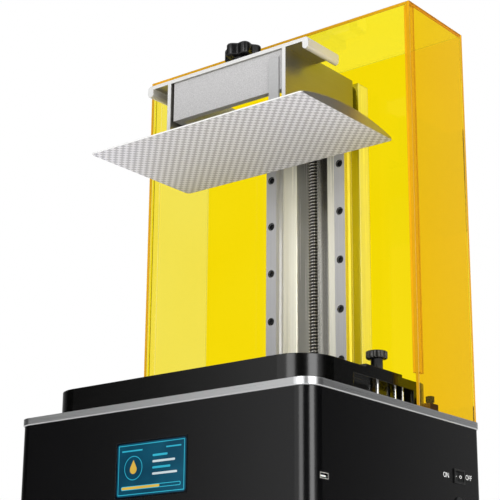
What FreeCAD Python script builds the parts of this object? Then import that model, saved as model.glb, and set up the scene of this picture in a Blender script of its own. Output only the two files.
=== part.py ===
"""Resin printer: base with light engine, vat, half cover, Z axis and build head.

Millimetres. +Z is up, the front faces -Y, and the origin is on the floor under the middle of the base.
Every size is a cell of the sheet, and every piece is tied to those cells by formulas in their names.
"""
import FreeCAD, Part
import Sketcher
import math
import os
import re

SIZES = {
    # base
    "plate_thick": 8, "plate_corner": 20, "rear_corner": 9, "plate_chamfer": 0.8, "front_margin": 26.5,
    "base_height": 134, "foot_height": 8, "foot_radius": 14, "foot_taper": 2, "foot_inset": 36,
    "pan_thick": 2, "vent_width": 4, "vent_length": 60, "vent_pitch": 12,
    "housing_inset": 1.5, "housing_wall": 2.5, "grille_width": 3, "grille_pitch": 7, "grille_margin": 10,
    "standoff_radius": 5, "standoff_inset": 34, "fit_gap": 0.3, "thread_gap": 0.05,
    # touch screen
    "screen_width": 94.5, "screen_height": 55.5, "screen_drop": 69.8, "screen_border": 1,
    "module_lap": 3, "module_depth": 8,
    # light engine
    "window_width": 300, "window_depth": 168, "glass_lap": 10, "glass_thick": 1.2,
    "lcd_thick": 3, "shroud_wall": 2, "shroud_lap": 3, "shroud_height": 64, "board_thick": 1.6,
    "led_radius": 7, "led_height": 4, "sink_base": 6, "fin_height": 22, "fin_thick": 2, "sink_inset": 10,
    # fans
    "fan_side": 80, "fan_depth": 25, "fan_x": 95, "fan_rim": 2, "fan_hub": 17,
    "fan_strut": 5, "fan_back": 3, "fan_pin": 1.5, "blade_thick": 2, "blade_gap": 1.5, "blade_pitch": 35,
    "blade_chord": 18, "hub_gap": 1.5,
    # mainboard
    "mainboard_set": 10.3, "mainboard_length": 120, "mainboard_tall": 75, "mainboard_low": 30,
    "mainboard_stand": 5, "mainboard_inset": 6,
    # sockets and switch in the right wall
    "usb_set": 3.5, "usb_drop": 92, "usb_width": 13.2, "usb_tall": 5.7, "usb_length": 16, "usb_wall": 0.5,
    "usb_sink": 0.5, "usb_gap": 0.6, "tongue_width": 11, "tongue_thick": 1.6,
    "usb_board_width": 12, "usb_board_length": 20,
    "switch_inset": 48.5, "switch_drop": 64, "bezel_length": 21, "bezel_tall": 15, "bezel_thick": 1.5,
    "switch_body": 14, "switch_wall": 1, "bezel_lap": 0.9, "rocker_gap": 1, "rocker_pin": 1,
    "rocker_pivot": 4, "rocker_tilt": 8, "rocker_dish": 1, "rocker_root": 3, "pin_gap": 0.05,
    "inlet_inset": 50.8, "inlet_drop": 93, "inlet_radius": 5.5, "inlet_flange": 7, "inlet_length": 18,
    "inlet_bore": 3, "inlet_depth": 10, "inlet_pin": 1,
    # vat
    "vat_side_clear": 6.5, "vat_front_clear": 17.7, "vat_back_clear": 25.3, "vat_rim": 32, "vat_corner": 40,
    "vat_side_wall": 23.5, "vat_end_wall": 10, "vat_inner_corner": 25, "ring_thick": 3, "film_thick": 0.3,
    "ring_width": 6.5, "film_screw": 1.2, "film_screw_length": 8,
    "recess_depth": 13, "recess_length": 112, "recess_top": 22, "pad_rise": 3, "pad_length": 68,
    "thumb_inset": 9, "thumb_set": 14.5, "thumb_head": 11.5, "thumb_head_tall": 7.8, "thumb_neck": 6.4,
    "thumb_neck_tall": 12, "thumb_shaft": 2, "thumb_thread": 6, "knurl_radius": 1,
    "locating_pin": 1.5, "locating_first": 33.5, "locating_pitch": 14.5,
    # cover
    "hood_clear": 11.5, "hood_side_inset": 4.5, "hood_depth": 116.5, "hood_back_inset": 1.5,
    "hood_over": 152, "hood_thick": 4,
    "strip_width": 11.5, "strip_thick": 4, "strip_set": 1, "strip_low": 38,
    "bracket_width": 10, "bracket_length": 16, "bracket_tall": 9, "bracket_set": 31.5,
    "hood_screw_head": 4.6, "hood_screw_tall": 7, "hood_screw_neck": 3, "hood_neck_tall": 1.5,
    "hood_screw_shaft": 1.5, "hood_screw_depth": 6,
    # column, rails and screw drive
    "rail_x": 51, "rail_clear": 7, "rail_width": 15, "rail_height": 15, "rail_groove": 2,
    "rail_low": 2.6, "rail_end": 4.4, "bolt_first": 22.6, "bolt_pitch": 60, "bolt_head": 3.5,
    "bolt_head_tall": 4, "bolt_shank": 2, "bolt_socket": 1.5, "bolt_sink": 1, "bore_gap": 0.9,
    "bolt_bite": 10,
    "column_edge": 11.5, "column_clear": 2, "column_flange": 21, "channel_width": 46, "channel_depth": 26,
    "channel_floor": 4, "column_over": 111,
    "column_screw": 2.5, "column_screw_head": 4.5, "column_screw_tall": 5, "column_screw_bite": 15,
    "column_screw_near": 35, "column_screw_far": 58,
    "screw_set": 2.5, "screw_radius": 6, "journal_radius": 4, "journal_clear": 7,
    "bearing_width": 70, "bearing_tall": 10, "bearing_reach": 12,
    "motor_side": 42.3, "motor_length": 48, "motor_corner": 5, "motor_boss": 11, "boss_tall": 2,
    "shaft_radius": 2.5, "shaft_depth": 10, "coupler_radius": 10, "coupler_low": 4, "coupler_length": 25,
    # carriage
    "carriage_rise": 34, "carriage_tall": 62, "carriage_width": 170, "carriage_thick": 10,
    "carriage_corner": 10,
    "block_width": 34, "block_length": 60, "block_depth": 23, "block_cover": 12,
    "carriage_screw_x": 13, "carriage_screw_z": 15,
    "nut_radius": 11, "nut_flange": 17, "nut_flange_tall": 8, "nut_length": 26, "nut_rise": 56,
    "nut_block_width": 40, "nut_block_tall": 28, "nut_block_wall": 3.5, "nut_gap": 0.08,
    # build head
    "platform_side_lap": 3, "platform_end_lap": 3.5, "platform_lift": 316, "platform_edge": 1.5,
    "platform_crown": 11.5, "platform_corner": 5, "platform_slot": 8,
    "hanger_width": 175, "hanger_wall": 5, "hanger_ahead": 28.7, "hanger_gap": 0.6, "hanger_height": 96,
    "web_thick": 4.5, "wing_span": 238, "wing_length": 59, "lip_thick": 8, "lip_drop": 14,
    "foot_lip": 4.5, "foot_lip_thick": 4, "foot_lip_rise": 14,
    "arm_gap": 2.5, "arm_wall": 8, "arm_height": 48, "arm_set": 3, "arm_window_drop": 17,
    "arm_screw_x": 30, "arm_screw_low": 8, "arm_screw_pitch": 16,
    "bar_x": 64, "bar_width": 13.5, "bar_low": 17, "bar_top": 13,
    "knob_set": 33, "knob_stem": 11, "knob_stem_tall": 15, "knob_core": 17, "lobe_radius": 7.5,
    "knob_radius": 22.5, "knob_tall": 15.5, "cap_radius": 12, "cap_top": 9, "cap_tall": 2,
    "knob_stud": 4, "stud_length": 14,
}

DERIVED = {
    "plate_width": "2 * (hood_x + hood_side_inset)",
    "plate_depth": "front_margin + vat_depth + rail_clear + rail_height + channel_depth + channel_floor"
                   " + column_clear + hood_thick + hood_back_inset",
    "housing_side": "plate_width / 2 - housing_inset",
    "housing_end": "plate_depth / 2 - housing_inset",
    "housing_corner": "plate_corner - housing_inset",
    "housing_rear_corner": "rear_corner - housing_inset",
    "wall_side": "housing_side - housing_wall",
    "wall_end": "housing_end - housing_wall",
    "pan_top": "foot_height + pan_thick",
    "plate_under": "base_height - plate_thick",
    "fan_z": "(pan_top + plate_under) / 2",
    "shroud_x": "window_width / 2 + shroud_lap + shroud_wall",
    "shroud_y": "window_depth / 2 + shroud_lap + shroud_wall",
    "shroud_low": "plate_under - shroud_height",
    "sink_top": "shroud_low - board_thick",
    "screen_z": "base_height - screen_drop",
    "mainboard_y": "print_y + mainboard_set",
    "usb_y": "plate_corner + usb_set - plate_depth / 2",
    "usb_z": "base_height - usb_drop",
    "switch_y": "plate_depth / 2 - switch_inset",
    "switch_z": "base_height - switch_drop",
    "inlet_y": "plate_depth / 2 - inlet_inset",
    "inlet_z": "base_height - inlet_drop",
    "vat_inner_x": "window_width / 2 + vat_side_clear",
    "vat_x": "vat_inner_x + vat_side_wall",
    "vat_depth": "2 * vat_end_wall + vat_front_clear + window_depth + vat_back_clear",
    "vat_front": "front_margin - plate_depth / 2",
    "vat_back": "vat_front + vat_depth",
    "vat_y": "(vat_front + vat_back) / 2",
    "vat_inner_front": "vat_front + vat_end_wall",
    "vat_inner_back": "vat_back - vat_end_wall",
    "print_y": "vat_inner_front + vat_front_clear + window_depth / 2",
    "film_low": "base_height + ring_thick",
    "film_top": "film_low + film_thick",
    "recess_x": "vat_x - recess_depth",
    "thumb_x": "vat_x - thumb_inset",
    "thumb_y": "vat_y + thumb_set",
    "thumb_low": "base_height + vat_rim + pad_rise",
    "hood_x": "vat_x + hood_clear + hood_thick",
    "hood_back": "plate_depth / 2 - hood_back_inset",
    "hood_front": "hood_back - hood_depth",
    "hood_top": "platform_z + hood_over",
    "hood_inner_x": "hood_x - hood_thick",
    "bracket_x": "hood_inner_x - bracket_width / 2",
    "bracket_y": "hood_front + bracket_set",
    "bracket_top": "base_height + bracket_tall",
    "rail_face": "vat_back + rail_clear",
    "column_front": "rail_face + rail_height",
    "column_x": "rail_x + rail_width / 2 + column_edge",
    "column_top": "platform_z + column_over",
    "column_screw_y": "column_front + column_flange / 2",
    "screw_y": "column_front + screw_set",
    "block_front": "rail_face - block_cover",
    "carriage_front": "block_front - carriage_thick",
    "carriage_z": "platform_z + carriage_rise",
    "carriage_screw_head": "bolt_head + fit_gap",
    "block_low": "carriage_z + (carriage_tall - block_length) / 2",
    "nut_z": "platform_z + nut_rise",
    "platform_width": "window_width + 2 * platform_side_lap",
    "platform_depth": "window_depth + 2 * platform_end_lap",
    "platform_z": "base_height + platform_lift",
    "platform_top": "platform_z + platform_edge + platform_crown",
    "platform_arc": "(platform_depth ^ 2 / 4 + platform_crown ^ 2) / (2 * platform_crown)",
    "hanger_x": "hanger_width / 2",
    "hanger_inner": "hanger_x - hanger_wall",
    "hanger_front": "print_y - hanger_ahead",
    "hanger_back": "carriage_front - hanger_gap",
    "hanger_z": "platform_z + hanger_height",
    "web_z": "hanger_z - web_thick",
    "wing_back": "hanger_front + wing_length",
    "knob_y": "hanger_front + knob_set",
    "arm_x": "hanger_inner - arm_gap",
    "arm_front": "hanger_front + arm_set",
    "arm_z": "web_z - arm_height",
}

OVER = 1  # how far a cutter reaches past a face
RAIL_BOLTS = 7
FAN_BLADES = 7
KNOB_LOBES = 6
KNOB_TURN = 16.5  # degrees that the knob rests past the right
KNURLS = 24
GRILLE_SLOTS = 9
PAN_VENTS = 9
LED_COLUMNS, LED_ROWS = 7, 4
SINK_FINS = 21
FILM_SCREW_COLUMNS, FILM_SCREW_LINES = 7, 4
SIDES = (("left", -1), ("right", 1))

doc = FreeCAD.newDocument("ResinPrinter")
sheet = doc.addObject("Spreadsheet::Sheet", "Size")
NAMES = {**SIZES, **DERIVED}
for row, alias in enumerate(NAMES, 1):
    sheet.set(f"A{row}", alias)
    sheet.setAlias(f"B{row}", alias)
for row, (alias, content) in enumerate(NAMES.items(), 1):
    sheet.set(f"B{row}", f"={content}" if alias in DERIVED else str(content))
doc.recompute()

pieces = {}


def tied(formula):
    """A formula in size names as an expression on the sheet."""
    return re.sub(r"[a-z_]+", lambda w: "Size." + w[0] if w[0] in NAMES else w[0], str(formula))


def bind(thing, **formulas):
    """Tie properties to formulas; x, y and z stand for the placement."""
    for name, formula in formulas.items():
        path = f"Placement.Base.{name}" if name in "xyz" else name
        thing.setExpression(path, tied(formula))
    return thing


def piece(name, thing):
    """Enter a finished sub-part under its own label."""
    thing.Label = name
    pieces[name] = thing
    return thing


def box(x, y, z):
    """Block between low and high formulas on each axis."""
    block = doc.addObject("Part::Box", "Block")
    for side, axis, (low, high) in zip(("Length", "Width", "Height"), "xyz", (x, y, z)):
        bind(block, **{side: f"({high}) - ({low})", axis: low})
    return block


TURNS = {
    "x": FreeCAD.Rotation(FreeCAD.Vector(0, 1, 0), 90),
    "y": FreeCAD.Rotation(FreeCAD.Vector(1, 0, 0), -90),
    "z": FreeCAD.Rotation(),
}


def lay_along(thing, axis, low, spot):
    """Lay a round form along an axis; spot names its place on the other two."""
    thing.Placement = FreeCAD.Placement(FreeCAD.Vector(), TURNS[axis])
    others = [other for other in "xyz" if other != axis]
    return bind(thing, **{axis: low, others[0]: spot[0], others[1]: spot[1]})


def rod(axis, radius, low, high, spot):
    """Cylinder along an axis."""
    cylinder = doc.addObject("Part::Cylinder", "Rod")
    bind(cylinder, Radius=radius, Height=f"({high}) - ({low})")
    return lay_along(cylinder, axis, low, spot)


def taper(axis, radius_low, radius_high, low, high, spot):
    """Cone frustum along an axis."""
    cone = doc.addObject("Part::Cone", "Taper")
    bind(cone, Radius1=radius_low, Radius2=radius_high, Height=f"({high}) - ({low})")
    return lay_along(cone, axis, low, spot)


def joined(*things):
    """One solid from touching or overlapping forms."""
    if len(things) == 1:
        return things[0]
    fuse = doc.addObject("Part::MultiFuse", "Joined")
    fuse.Shapes = list(things)
    fuse.Refine = True
    return fuse


def less(base, *tools):
    """A form with others cut out of it."""
    cut = doc.addObject("Part::Cut", "Less")
    cut.Base = base
    cut.Tool = joined(*tools)
    cut.Refine = True
    return cut


def together(things):
    """Several separate solids of one kind."""
    group = doc.addObject("Part::Compound", "Together")
    group.Links = list(things)
    return group


def polygon(body, plane, points, offset):
    """Closed sketch on an origin plane of the body, each corner tied to two formulas."""
    sketch = body.newObject("Sketcher::SketchObject", "Profile")
    support = next(f for f in body.Origin.OriginFeatures if f.Role == plane + "_Plane")
    sketch.AttachmentSupport = (support, [""])
    sketch.MapMode = "FlatFace"
    sketch.setExpression("AttachmentOffset.Base.z", tied(offset))
    count = len(points)
    turns = [2 * math.pi * i / count for i in range(count)]
    ring = [FreeCAD.Vector(math.cos(turn), math.sin(turn)) for turn in turns]
    for i in range(count):
        sketch.addGeometry(Part.LineSegment(ring[i], ring[(i + 1) % count]))
    for i in range(count):
        sketch.addConstraint(Sketcher.Constraint("Coincident", i, 2, (i + 1) % count, 1))
    for i, corner in enumerate(points):
        for kind, start, formula in zip(("DistanceX", "DistanceY"), (ring[i].x, ring[i].y), corner):
            index = sketch.addConstraint(Sketcher.Constraint(kind, -1, 1, i, 1, start))
            sketch.setExpression(f"Constraints[{index}]", tied(formula))
    return sketch


def extrusion(plane, points, low, high):
    """Body padded from a polygon, between low and high along the plane's axis."""
    body = doc.addObject("PartDesign::Body", "Extrusion")
    sketch = polygon(body, plane, points, f"-({high})" if plane == "XZ" else low)
    pad = body.newObject("PartDesign::Pad", "Pad")
    pad.Profile = sketch
    bind(pad, Length=f"({high}) - ({low})")
    return body


def end_edges(shape, end):
    """Names of the upright edges on a block's front (-1) or back (1) face."""
    box = shape.BoundBox
    face = box.YMin if end < 0 else box.YMax
    corners = {(x, face) for x in (box.XMin, box.XMax)}
    return [f"Edge{number}" for number, edge in enumerate(shape.Edges, 1)
            if any(all(math.hypot(v.X - x, v.Y - y) < 1e-6 for v in edge.Vertexes) for x, y in corners)]


def rounded(x, y, z, front_radius, back_radius=None):
    """Block whose upright edges are rounded, at the back by another radius if one is given."""
    corners = [(x[0], y[0]), (x[1], y[0]), (x[1], y[1]), (x[0], y[1])]
    body = extrusion("XY", corners, *z)
    for end, radius in ((-1, front_radius), (1, back_radius or front_radius)):
        doc.recompute()
        last = body.Tip
        fillet = body.newObject("PartDesign::Fillet", "Corners")
        fillet.Base = (last, end_edges(last.Shape, end))
        bind(fillet, Radius=radius)
    return body


def pm(formula):
    """Span from minus to plus a formula."""
    return (f"-({formula})", formula)


def around(middle, length):
    """Span of a length about a middle."""
    return (f"({middle}) - ({length}) / 2", f"({middle}) + ({length}) / 2")


def spread(middle, length, index, count):
    """Middle of one of several even shares of a length."""
    return f"({middle}) + ({length}) * {(index + 0.5) / count - 0.5}"


def span(side, low, high):
    """Span on the right (1) or, mirrored, on the left (-1)."""
    return (low, high) if side > 0 else (f"-({high})", f"-({low})")


def within(form, limit):
    """What two forms share."""
    common = doc.addObject("Part::Common", "Within")
    common.Base = form
    common.Tool = limit
    return common


def four_corners(inset):
    """Spots near the four corners of the base."""
    return [(f"{i} * (plate_width / 2 - {inset})", f"{j} * (plate_depth / 2 - {inset})")
            for i in (-1, 1) for j in (-1, 1)]


def cap_screw(seat, end, spot):
    """Socket-head screw that points backwards: its head before its seat, its shank from there to an end."""
    front = f"{seat} - bolt_head_tall"
    shape = joined(rod("y", "bolt_head", front, seat, spot), rod("y", "bolt_shank", seat, end, spot))
    return less(shape, rod("y", "bolt_socket", front, f"{seat} - bolt_head_tall / 2", spot))


def rubber_feet():
    feet = [taper("z", "foot_radius - foot_taper", "foot_radius", 0, "foot_height", spot)
            for spot in four_corners("foot_inset")]
    piece("rubber_feet", together(feet))


def bottom_pan():
    pan = rounded(pm("housing_side"), pm("housing_end"), ("foot_height", "pan_top"), "housing_corner",
                  "housing_rear_corner")
    vents = [box(around(f"{side} * vent_length", "vent_length"),
                 around(f"{i - PAN_VENTS // 2} * vent_pitch", "vent_width"),
                 (f"foot_height - {OVER}", f"pan_top + {OVER}"))
             for side in (-1, 1) for i in range(PAN_VENTS)]
    piece("bottom_pan", less(pan, *vents))


def base_housing():
    outer = rounded(pm("housing_side"), pm("housing_end"), ("pan_top", "plate_under"), "housing_corner",
                    "housing_rear_corner")
    inner = rounded(pm("wall_side"), pm("wall_end"), (f"pan_top - {OVER}", f"plate_under + {OVER}"),
                    "housing_corner - housing_wall", "housing_rear_corner - housing_wall")
    right_wall = (f"wall_side - {OVER}", f"housing_side + {OVER}")
    rear_wall = (f"wall_end - {OVER}", f"housing_end + {OVER}")
    openings = [
        box(pm("screen_width / 2 + screen_border"), (f"-housing_end - {OVER}", f"-wall_end + {OVER}"),
            around("screen_z", "screen_height + 2 * screen_border")),
        box(right_wall, around("usb_y", "usb_width + 2 * usb_gap"),
            around("usb_z", "usb_tall + 2 * usb_gap")),
        box(right_wall, around("switch_y", "bezel_length - 2 * bezel_lap"),
            around("switch_z", "bezel_tall - 2 * bezel_lap")),
        rod("x", "inlet_radius + thread_gap", *right_wall, ("inlet_y", "inlet_z")),
    ]
    for side in (-1, 1):
        for i in range(GRILLE_SLOTS):
            openings.append(box(around(f"{side} * fan_x", "fan_side - 2 * grille_margin"), rear_wall,
                                around(f"fan_z + {i - GRILLE_SLOTS // 2} * grille_pitch", "grille_width")))
    piece("base_housing", less(outer, inner, *openings))


def steel_standoffs():
    tall = [rod("z", "standoff_radius", "pan_top", "plate_under", spot)
            for spot in four_corners("standoff_inset")]
    short = [rod("x", "standoff_radius", "-wall_side", "-wall_side + mainboard_stand", spot)
             for spot in mainboard_corners()]
    piece("steel_standoffs", together(tall + short))


def top_plate():
    slab = rounded(pm("plate_width / 2"), pm("plate_depth / 2"), ("plate_under", "base_height"),
                   "plate_corner", "rear_corner")
    doc.recompute()
    corners = slab.Tip
    floor = corners.Shape.BoundBox.ZMin + 1e-6
    lower = [f"Edge{n}" for n, edge in enumerate(corners.Shape.Edges, 1) if edge.BoundBox.ZMax < floor]
    chamfer = slab.newObject("PartDesign::Chamfer", "LowerEdge")
    chamfer.Base = (corners, lower)
    bind(chamfer, Size="plate_chamfer")
    through = (f"plate_under - {OVER}", f"base_height + {OVER}")
    holes = [
        box(pm("window_width / 2"), around("print_y", "window_depth"), through),
        box(pm("window_width / 2 + glass_lap"), around("print_y", "window_depth + 2 * glass_lap"),
            ("base_height - glass_thick", f"base_height + {OVER}")),
        rod("z", "motor_boss + fit_gap", *through, (0, "screw_y")),
    ]
    for side in (-1, 1):
        holes.append(rod("z", "thumb_shaft + pin_gap", "base_height - thumb_thread",
                         f"base_height + {OVER}", (f"{side} * thumb_x", "thumb_y")))
    holes += [rod("z", "column_screw + thread_gap", *through, spot) for spot in column_screw_spots()]
    piece("top_plate", less(slab, *holes))


def lcd_glass():
    piece("lcd_glass", box(pm("window_width / 2 + glass_lap - fit_gap"),
                           around("print_y", "window_depth + 2 * (glass_lap - fit_gap)"),
                           ("base_height - glass_thick", "base_height")))


def lcd_panel():
    top = "base_height - glass_thick"
    piece("lcd_panel", box(pm("window_width / 2 - fit_gap"),
                           around("print_y", "window_depth - 2 * fit_gap"), (f"{top} - lcd_thick", top)))


def light_shroud():
    outer = box(pm("shroud_x"), around("print_y", "2 * shroud_y"), ("shroud_low", "plate_under"))
    inner = box(pm("shroud_x - shroud_wall"), around("print_y", "2 * (shroud_y - shroud_wall)"),
                (f"shroud_low - {OVER}", f"plate_under + {OVER}"))
    piece("light_shroud", less(outer, inner))


def led_board():
    board = box(pm("shroud_x"), around("print_y", "2 * shroud_y"), ("sink_top", "shroud_low"))
    domes = [taper("z", "led_radius", "led_radius / 2", "shroud_low", "shroud_low + led_height",
                   (spread(0, "window_width", i, LED_COLUMNS),
                    spread("print_y", "window_depth", j, LED_ROWS)))
             for i in range(LED_COLUMNS) for j in range(LED_ROWS)]
    piece("led_board", joined(board, *domes))


def heat_sink():
    depth = around("print_y", "2 * (shroud_y - sink_inset)")
    base = box(pm("shroud_x - sink_inset"), depth, ("sink_top - sink_base", "sink_top"))
    fins = [box(around(spread(0, "2 * (shroud_x - sink_inset)", i, SINK_FINS), "fin_thick"), depth,
                ("sink_top - sink_base - fin_height", "sink_top - sink_base"))
            for i in range(SINK_FINS)]
    piece("heat_sink", joined(base, *fins))


FAN_FRONT = "wall_end - fan_depth"


def fan_frame(side_name, side):
    middle = (f"{side} * fan_x", "fan_z")
    back = (FAN_FRONT, f"{FAN_FRONT} + fan_back")
    shell = less(box(around(middle[0], "fan_side"), (FAN_FRONT, "wall_end"), around(middle[1], "fan_side")),
                 rod("y", "fan_side / 2 - fan_rim", f"{FAN_FRONT} - {OVER}", f"wall_end + {OVER}", middle))
    struts = [box(around(middle[0], "fan_side - fan_rim"), back, around(middle[1], "fan_strut")),
              box(around(middle[0], "fan_strut"), back, around(middle[1], "fan_side - fan_rim"))]
    hub = rod("y", "fan_hub", *back, middle)
    pin = rod("y", "fan_pin", FAN_FRONT, "wall_end - 2 * hub_gap", middle)
    piece(f"fan_frame_{side_name}", joined(shell, *struts, hub, pin))


def fan_rotor(side_name, side):
    middle = (f"{side} * fan_x", "fan_z")
    start = f"{FAN_FRONT} + fan_back + fit_gap"
    hub = rod("y", "fan_hub", start, "wall_end - 2 * hub_gap", middle)
    reach = rod("y", "fan_side / 2 - fan_rim - blade_gap", start, "wall_end - 2 * hub_gap", middle)
    blades = []
    for i in range(FAN_BLADES):
        blade = doc.addObject("Part::Box", "Blade")
        bind(blade, Length="fan_side / 2", Width="blade_thick", Height="blade_chord")
        around_axis = FreeCAD.Rotation(FreeCAD.Vector(0, 1, 0), 360 * i / FAN_BLADES)
        pitched = FreeCAD.Rotation(FreeCAD.Vector(1, 0, 0), sheet.get("blade_pitch") - 90)
        blade.Placement = FreeCAD.Placement(FreeCAD.Vector(), around_axis * pitched)
        blades.append(bind(blade, x=middle[0], y=f"{start} + hub_gap", z=middle[1]))
    bore = rod("y", "fan_pin + pin_gap", f"{FAN_FRONT} - {OVER}", f"wall_end + {OVER}", middle)
    piece(f"fan_rotor_{side_name}", less(joined(hub, within(joined(*blades), reach)), bore))


def mainboard_corners():
    return [(f"mainboard_y + {i} * (mainboard_length / 2 - mainboard_inset)",
             f"mainboard_low + mainboard_tall / 2 + {j} * (mainboard_tall / 2 - mainboard_inset)")
            for i in (-1, 1) for j in (-1, 1)]


def mainboard():
    face = "-wall_side + mainboard_stand + board_thick"
    low_y, low_z = "mainboard_y - mainboard_length / 2", "mainboard_low"
    board = box(("-wall_side + mainboard_stand", face), (low_y, f"{low_y} + mainboard_length"),
                (low_z, f"{low_z} + mainboard_tall"))
    # start and length along the board, start and height up it, and how far it stands out, as its shares
    parts = [(0.15, 0.16, 0.30, 0.30, 0.04), (0.42, 0.22, 0.28, 0.36, 0.16), (0.72, 0.14, 0.34, 0.24, 0.06),
             (0.12, 0.08, 0.80, 0.14, 0.12), (0.24, 0.08, 0.80, 0.14, 0.12), (0.36, 0.08, 0.80, 0.14, 0.12),
             (0.62, 0.26, 0.80, 0.14, 0.14)]
    chips = [box((face, f"{face} + {out} * mainboard_tall"),
                 (f"{low_y} + {a} * mainboard_length", f"{low_y} + {a + b} * mainboard_length"),
                 (f"{low_z} + {c} * mainboard_tall", f"{low_z} + {c + d} * mainboard_tall"))
             for a, b, c, d, out in parts]
    piece("mainboard", joined(board, *chips))


def touch_glass():
    piece("touch_glass", box(pm("screen_width / 2 + screen_border - fit_gap"),
                             ("-housing_end", "-wall_end"),
                             around("screen_z", "screen_height + 2 * (screen_border - fit_gap)")))


def touch_module():
    piece("touch_module", box(pm("screen_width / 2 + screen_border + module_lap"),
                              ("-wall_end", "-wall_end + module_depth"),
                              around("screen_z", "screen_height + 2 * (screen_border + module_lap)")))


def usb_socket():
    mouth = "housing_side - usb_sink"
    back = f"{mouth} - usb_length"
    width, tall = around("usb_y", "usb_width"), around("usb_z", "usb_tall")
    bore = box((f"{back} + usb_wall", f"{mouth} + {OVER}"), around("usb_y", "usb_width - 2 * usb_wall"),
               around("usb_z", "usb_tall - 2 * usb_wall"))
    piece("usb_shell", less(box((back, mouth), width, tall), bore))
    piece("usb_tongue", box((f"{back} + usb_wall", "wall_side"), around("usb_y", "tongue_width"),
                            around("usb_z", "tongue_thick")))
    low = "usb_z - usb_tall / 2"
    piece("usb_board", box(("wall_side - usb_board_length", "wall_side - fit_gap"),
                           around("usb_y", "usb_board_width"), (f"{low} - board_thick", low)))


ROCKER_X = "housing_side - rocker_pivot"


def switch_housing():
    length = "bezel_length - 2 * bezel_lap - 2 * thread_gap"
    tall = "bezel_tall - 2 * bezel_lap - 2 * thread_gap"
    bezel = box(("housing_side", "housing_side + bezel_thick"), around("switch_y", "bezel_length"),
                around("switch_z", "bezel_tall"))
    shell = box(("housing_side - switch_body", "housing_side"), around("switch_y", length),
                around("switch_z", tall))
    cavity = box(("housing_side - switch_body + switch_wall", f"housing_side + bezel_thick + {OVER}"),
                 around("switch_y", f"{length} - 2 * switch_wall"),
                 around("switch_z", f"{tall} - 2 * switch_wall"))
    pin = rod("z", "rocker_pin", *around("switch_z", tall), (ROCKER_X, "switch_y"))
    piece("switch_housing", joined(less(joined(bezel, shell), cavity), pin))


def power_rocker():
    half = "(bezel_length / 2 - bezel_lap - switch_wall - rocker_gap)"
    tall = "(bezel_tall - 2 * bezel_lap - 2 * switch_wall - rocker_gap)"
    profile = [("-rocker_root", f"-{half} + rocker_root"), ("rocker_pivot", f"-{half}"),
               ("rocker_pivot - rocker_dish", 0), ("rocker_pivot", half),
               ("-rocker_root", f"{half} - rocker_root")]
    rocker = extrusion("XY", profile, f"-{tall} / 2", f"{tall} / 2")
    turned = FreeCAD.Rotation(FreeCAD.Vector(0, 0, 1), -sheet.get("rocker_tilt"))
    rocker.Placement = FreeCAD.Placement(FreeCAD.Vector(), turned)
    bind(rocker, x=ROCKER_X, y="switch_y", z="switch_z")
    bore = rod("z", "rocker_pin + pin_gap", *around("switch_z", "bezel_tall"), (ROCKER_X, "switch_y"))
    piece("power_rocker", less(rocker, bore))


def dc_inlet():
    spot = ("inlet_y", "inlet_z")
    face = "housing_side + bezel_thick"
    barrel = joined(rod("x", "inlet_radius", "housing_side - inlet_length", "housing_side", spot),
                    rod("x", "inlet_flange", "housing_side", face, spot))
    bore = rod("x", "inlet_bore", f"{face} - inlet_depth", f"{face} + {OVER}", spot)
    pin = rod("x", "inlet_pin", f"{face} - inlet_depth", "housing_side", spot)
    piece("dc_inlet", joined(less(barrel, bore), pin))


def film_screw_holes(radius, low, high):
    """Rods at every clamp screw round the vat's opening."""
    x, y = "vat_inner_x + ring_width / 2", "vat_depth / 2 - vat_end_wall + ring_width / 2"
    spots = [(spread(0, "2 * vat_inner_x", i, FILM_SCREW_COLUMNS), f"vat_y + {side} * ({y})")
             for side in (-1, 1) for i in range(FILM_SCREW_COLUMNS)]
    spots += [(f"{side} * ({x})", spread("vat_y", "vat_depth - 2 * vat_end_wall", i, FILM_SCREW_LINES))
              for side in (-1, 1) for i in range(FILM_SCREW_LINES)]
    return [rod("z", radius, low, high, spot) for spot in spots]


RING_OUTER = (pm("vat_inner_x + ring_width"),
              ("vat_inner_front - ring_width", "vat_inner_back + ring_width"))


def vat_frame():
    rim = "base_height + vat_rim"
    body = rounded(pm("vat_x"), ("vat_front", "vat_back"), ("base_height", rim), "vat_corner")
    cavity = rounded(pm("vat_inner_x"), ("vat_inner_front", "vat_inner_back"),
                     (f"base_height - {OVER}", f"{rim} + pad_rise + {OVER}"), "vat_inner_corner")
    rebate = box(*RING_OUTER, (f"base_height - {OVER}", "film_top"))
    pads, hollows = [], [cavity, rebate]
    for side in (-1, 1):
        pads.append(box(span(side, "recess_x", "vat_x"), around("thumb_y", "pad_length"),
                        (rim, f"{rim} + pad_rise")))
        hollows.append(box(span(side, "recess_x", f"vat_x + {OVER}"), around("thumb_y", "recess_length"),
                           (f"base_height - {OVER}", "base_height + recess_top")))
        hollows.append(rod("z", "thumb_shaft + pin_gap", "base_height", f"thumb_low + {OVER}",
                           (f"{side} * thumb_x", "thumb_y")))
    threads = film_screw_holes("film_screw + thread_gap", "base_height", "base_height + film_screw_length")
    piece("vat_frame", less(joined(body, *pads), *hollows, *threads))


def vat_film():
    holes = film_screw_holes("film_screw + thread_gap", "base_height", "base_height + film_screw_length")
    piece("vat_film", less(box(*RING_OUTER, ("film_low", "film_top")), *holes))


def film_clamp_ring():
    ring = less(box(*RING_OUTER, ("base_height", "film_low")),
                rounded(pm("vat_inner_x"), ("vat_inner_front", "vat_inner_back"),
                        (f"base_height - {OVER}", f"film_low + {OVER}"), "vat_inner_corner"))
    holes = film_screw_holes("film_screw + thread_gap", f"base_height - {OVER}", f"film_low + {OVER}")
    piece("film_clamp_ring", less(ring, *holes))


def film_screws():
    screws = film_screw_holes("film_screw", "base_height", "base_height + film_screw_length")
    piece("film_screws", together(screws))


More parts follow.
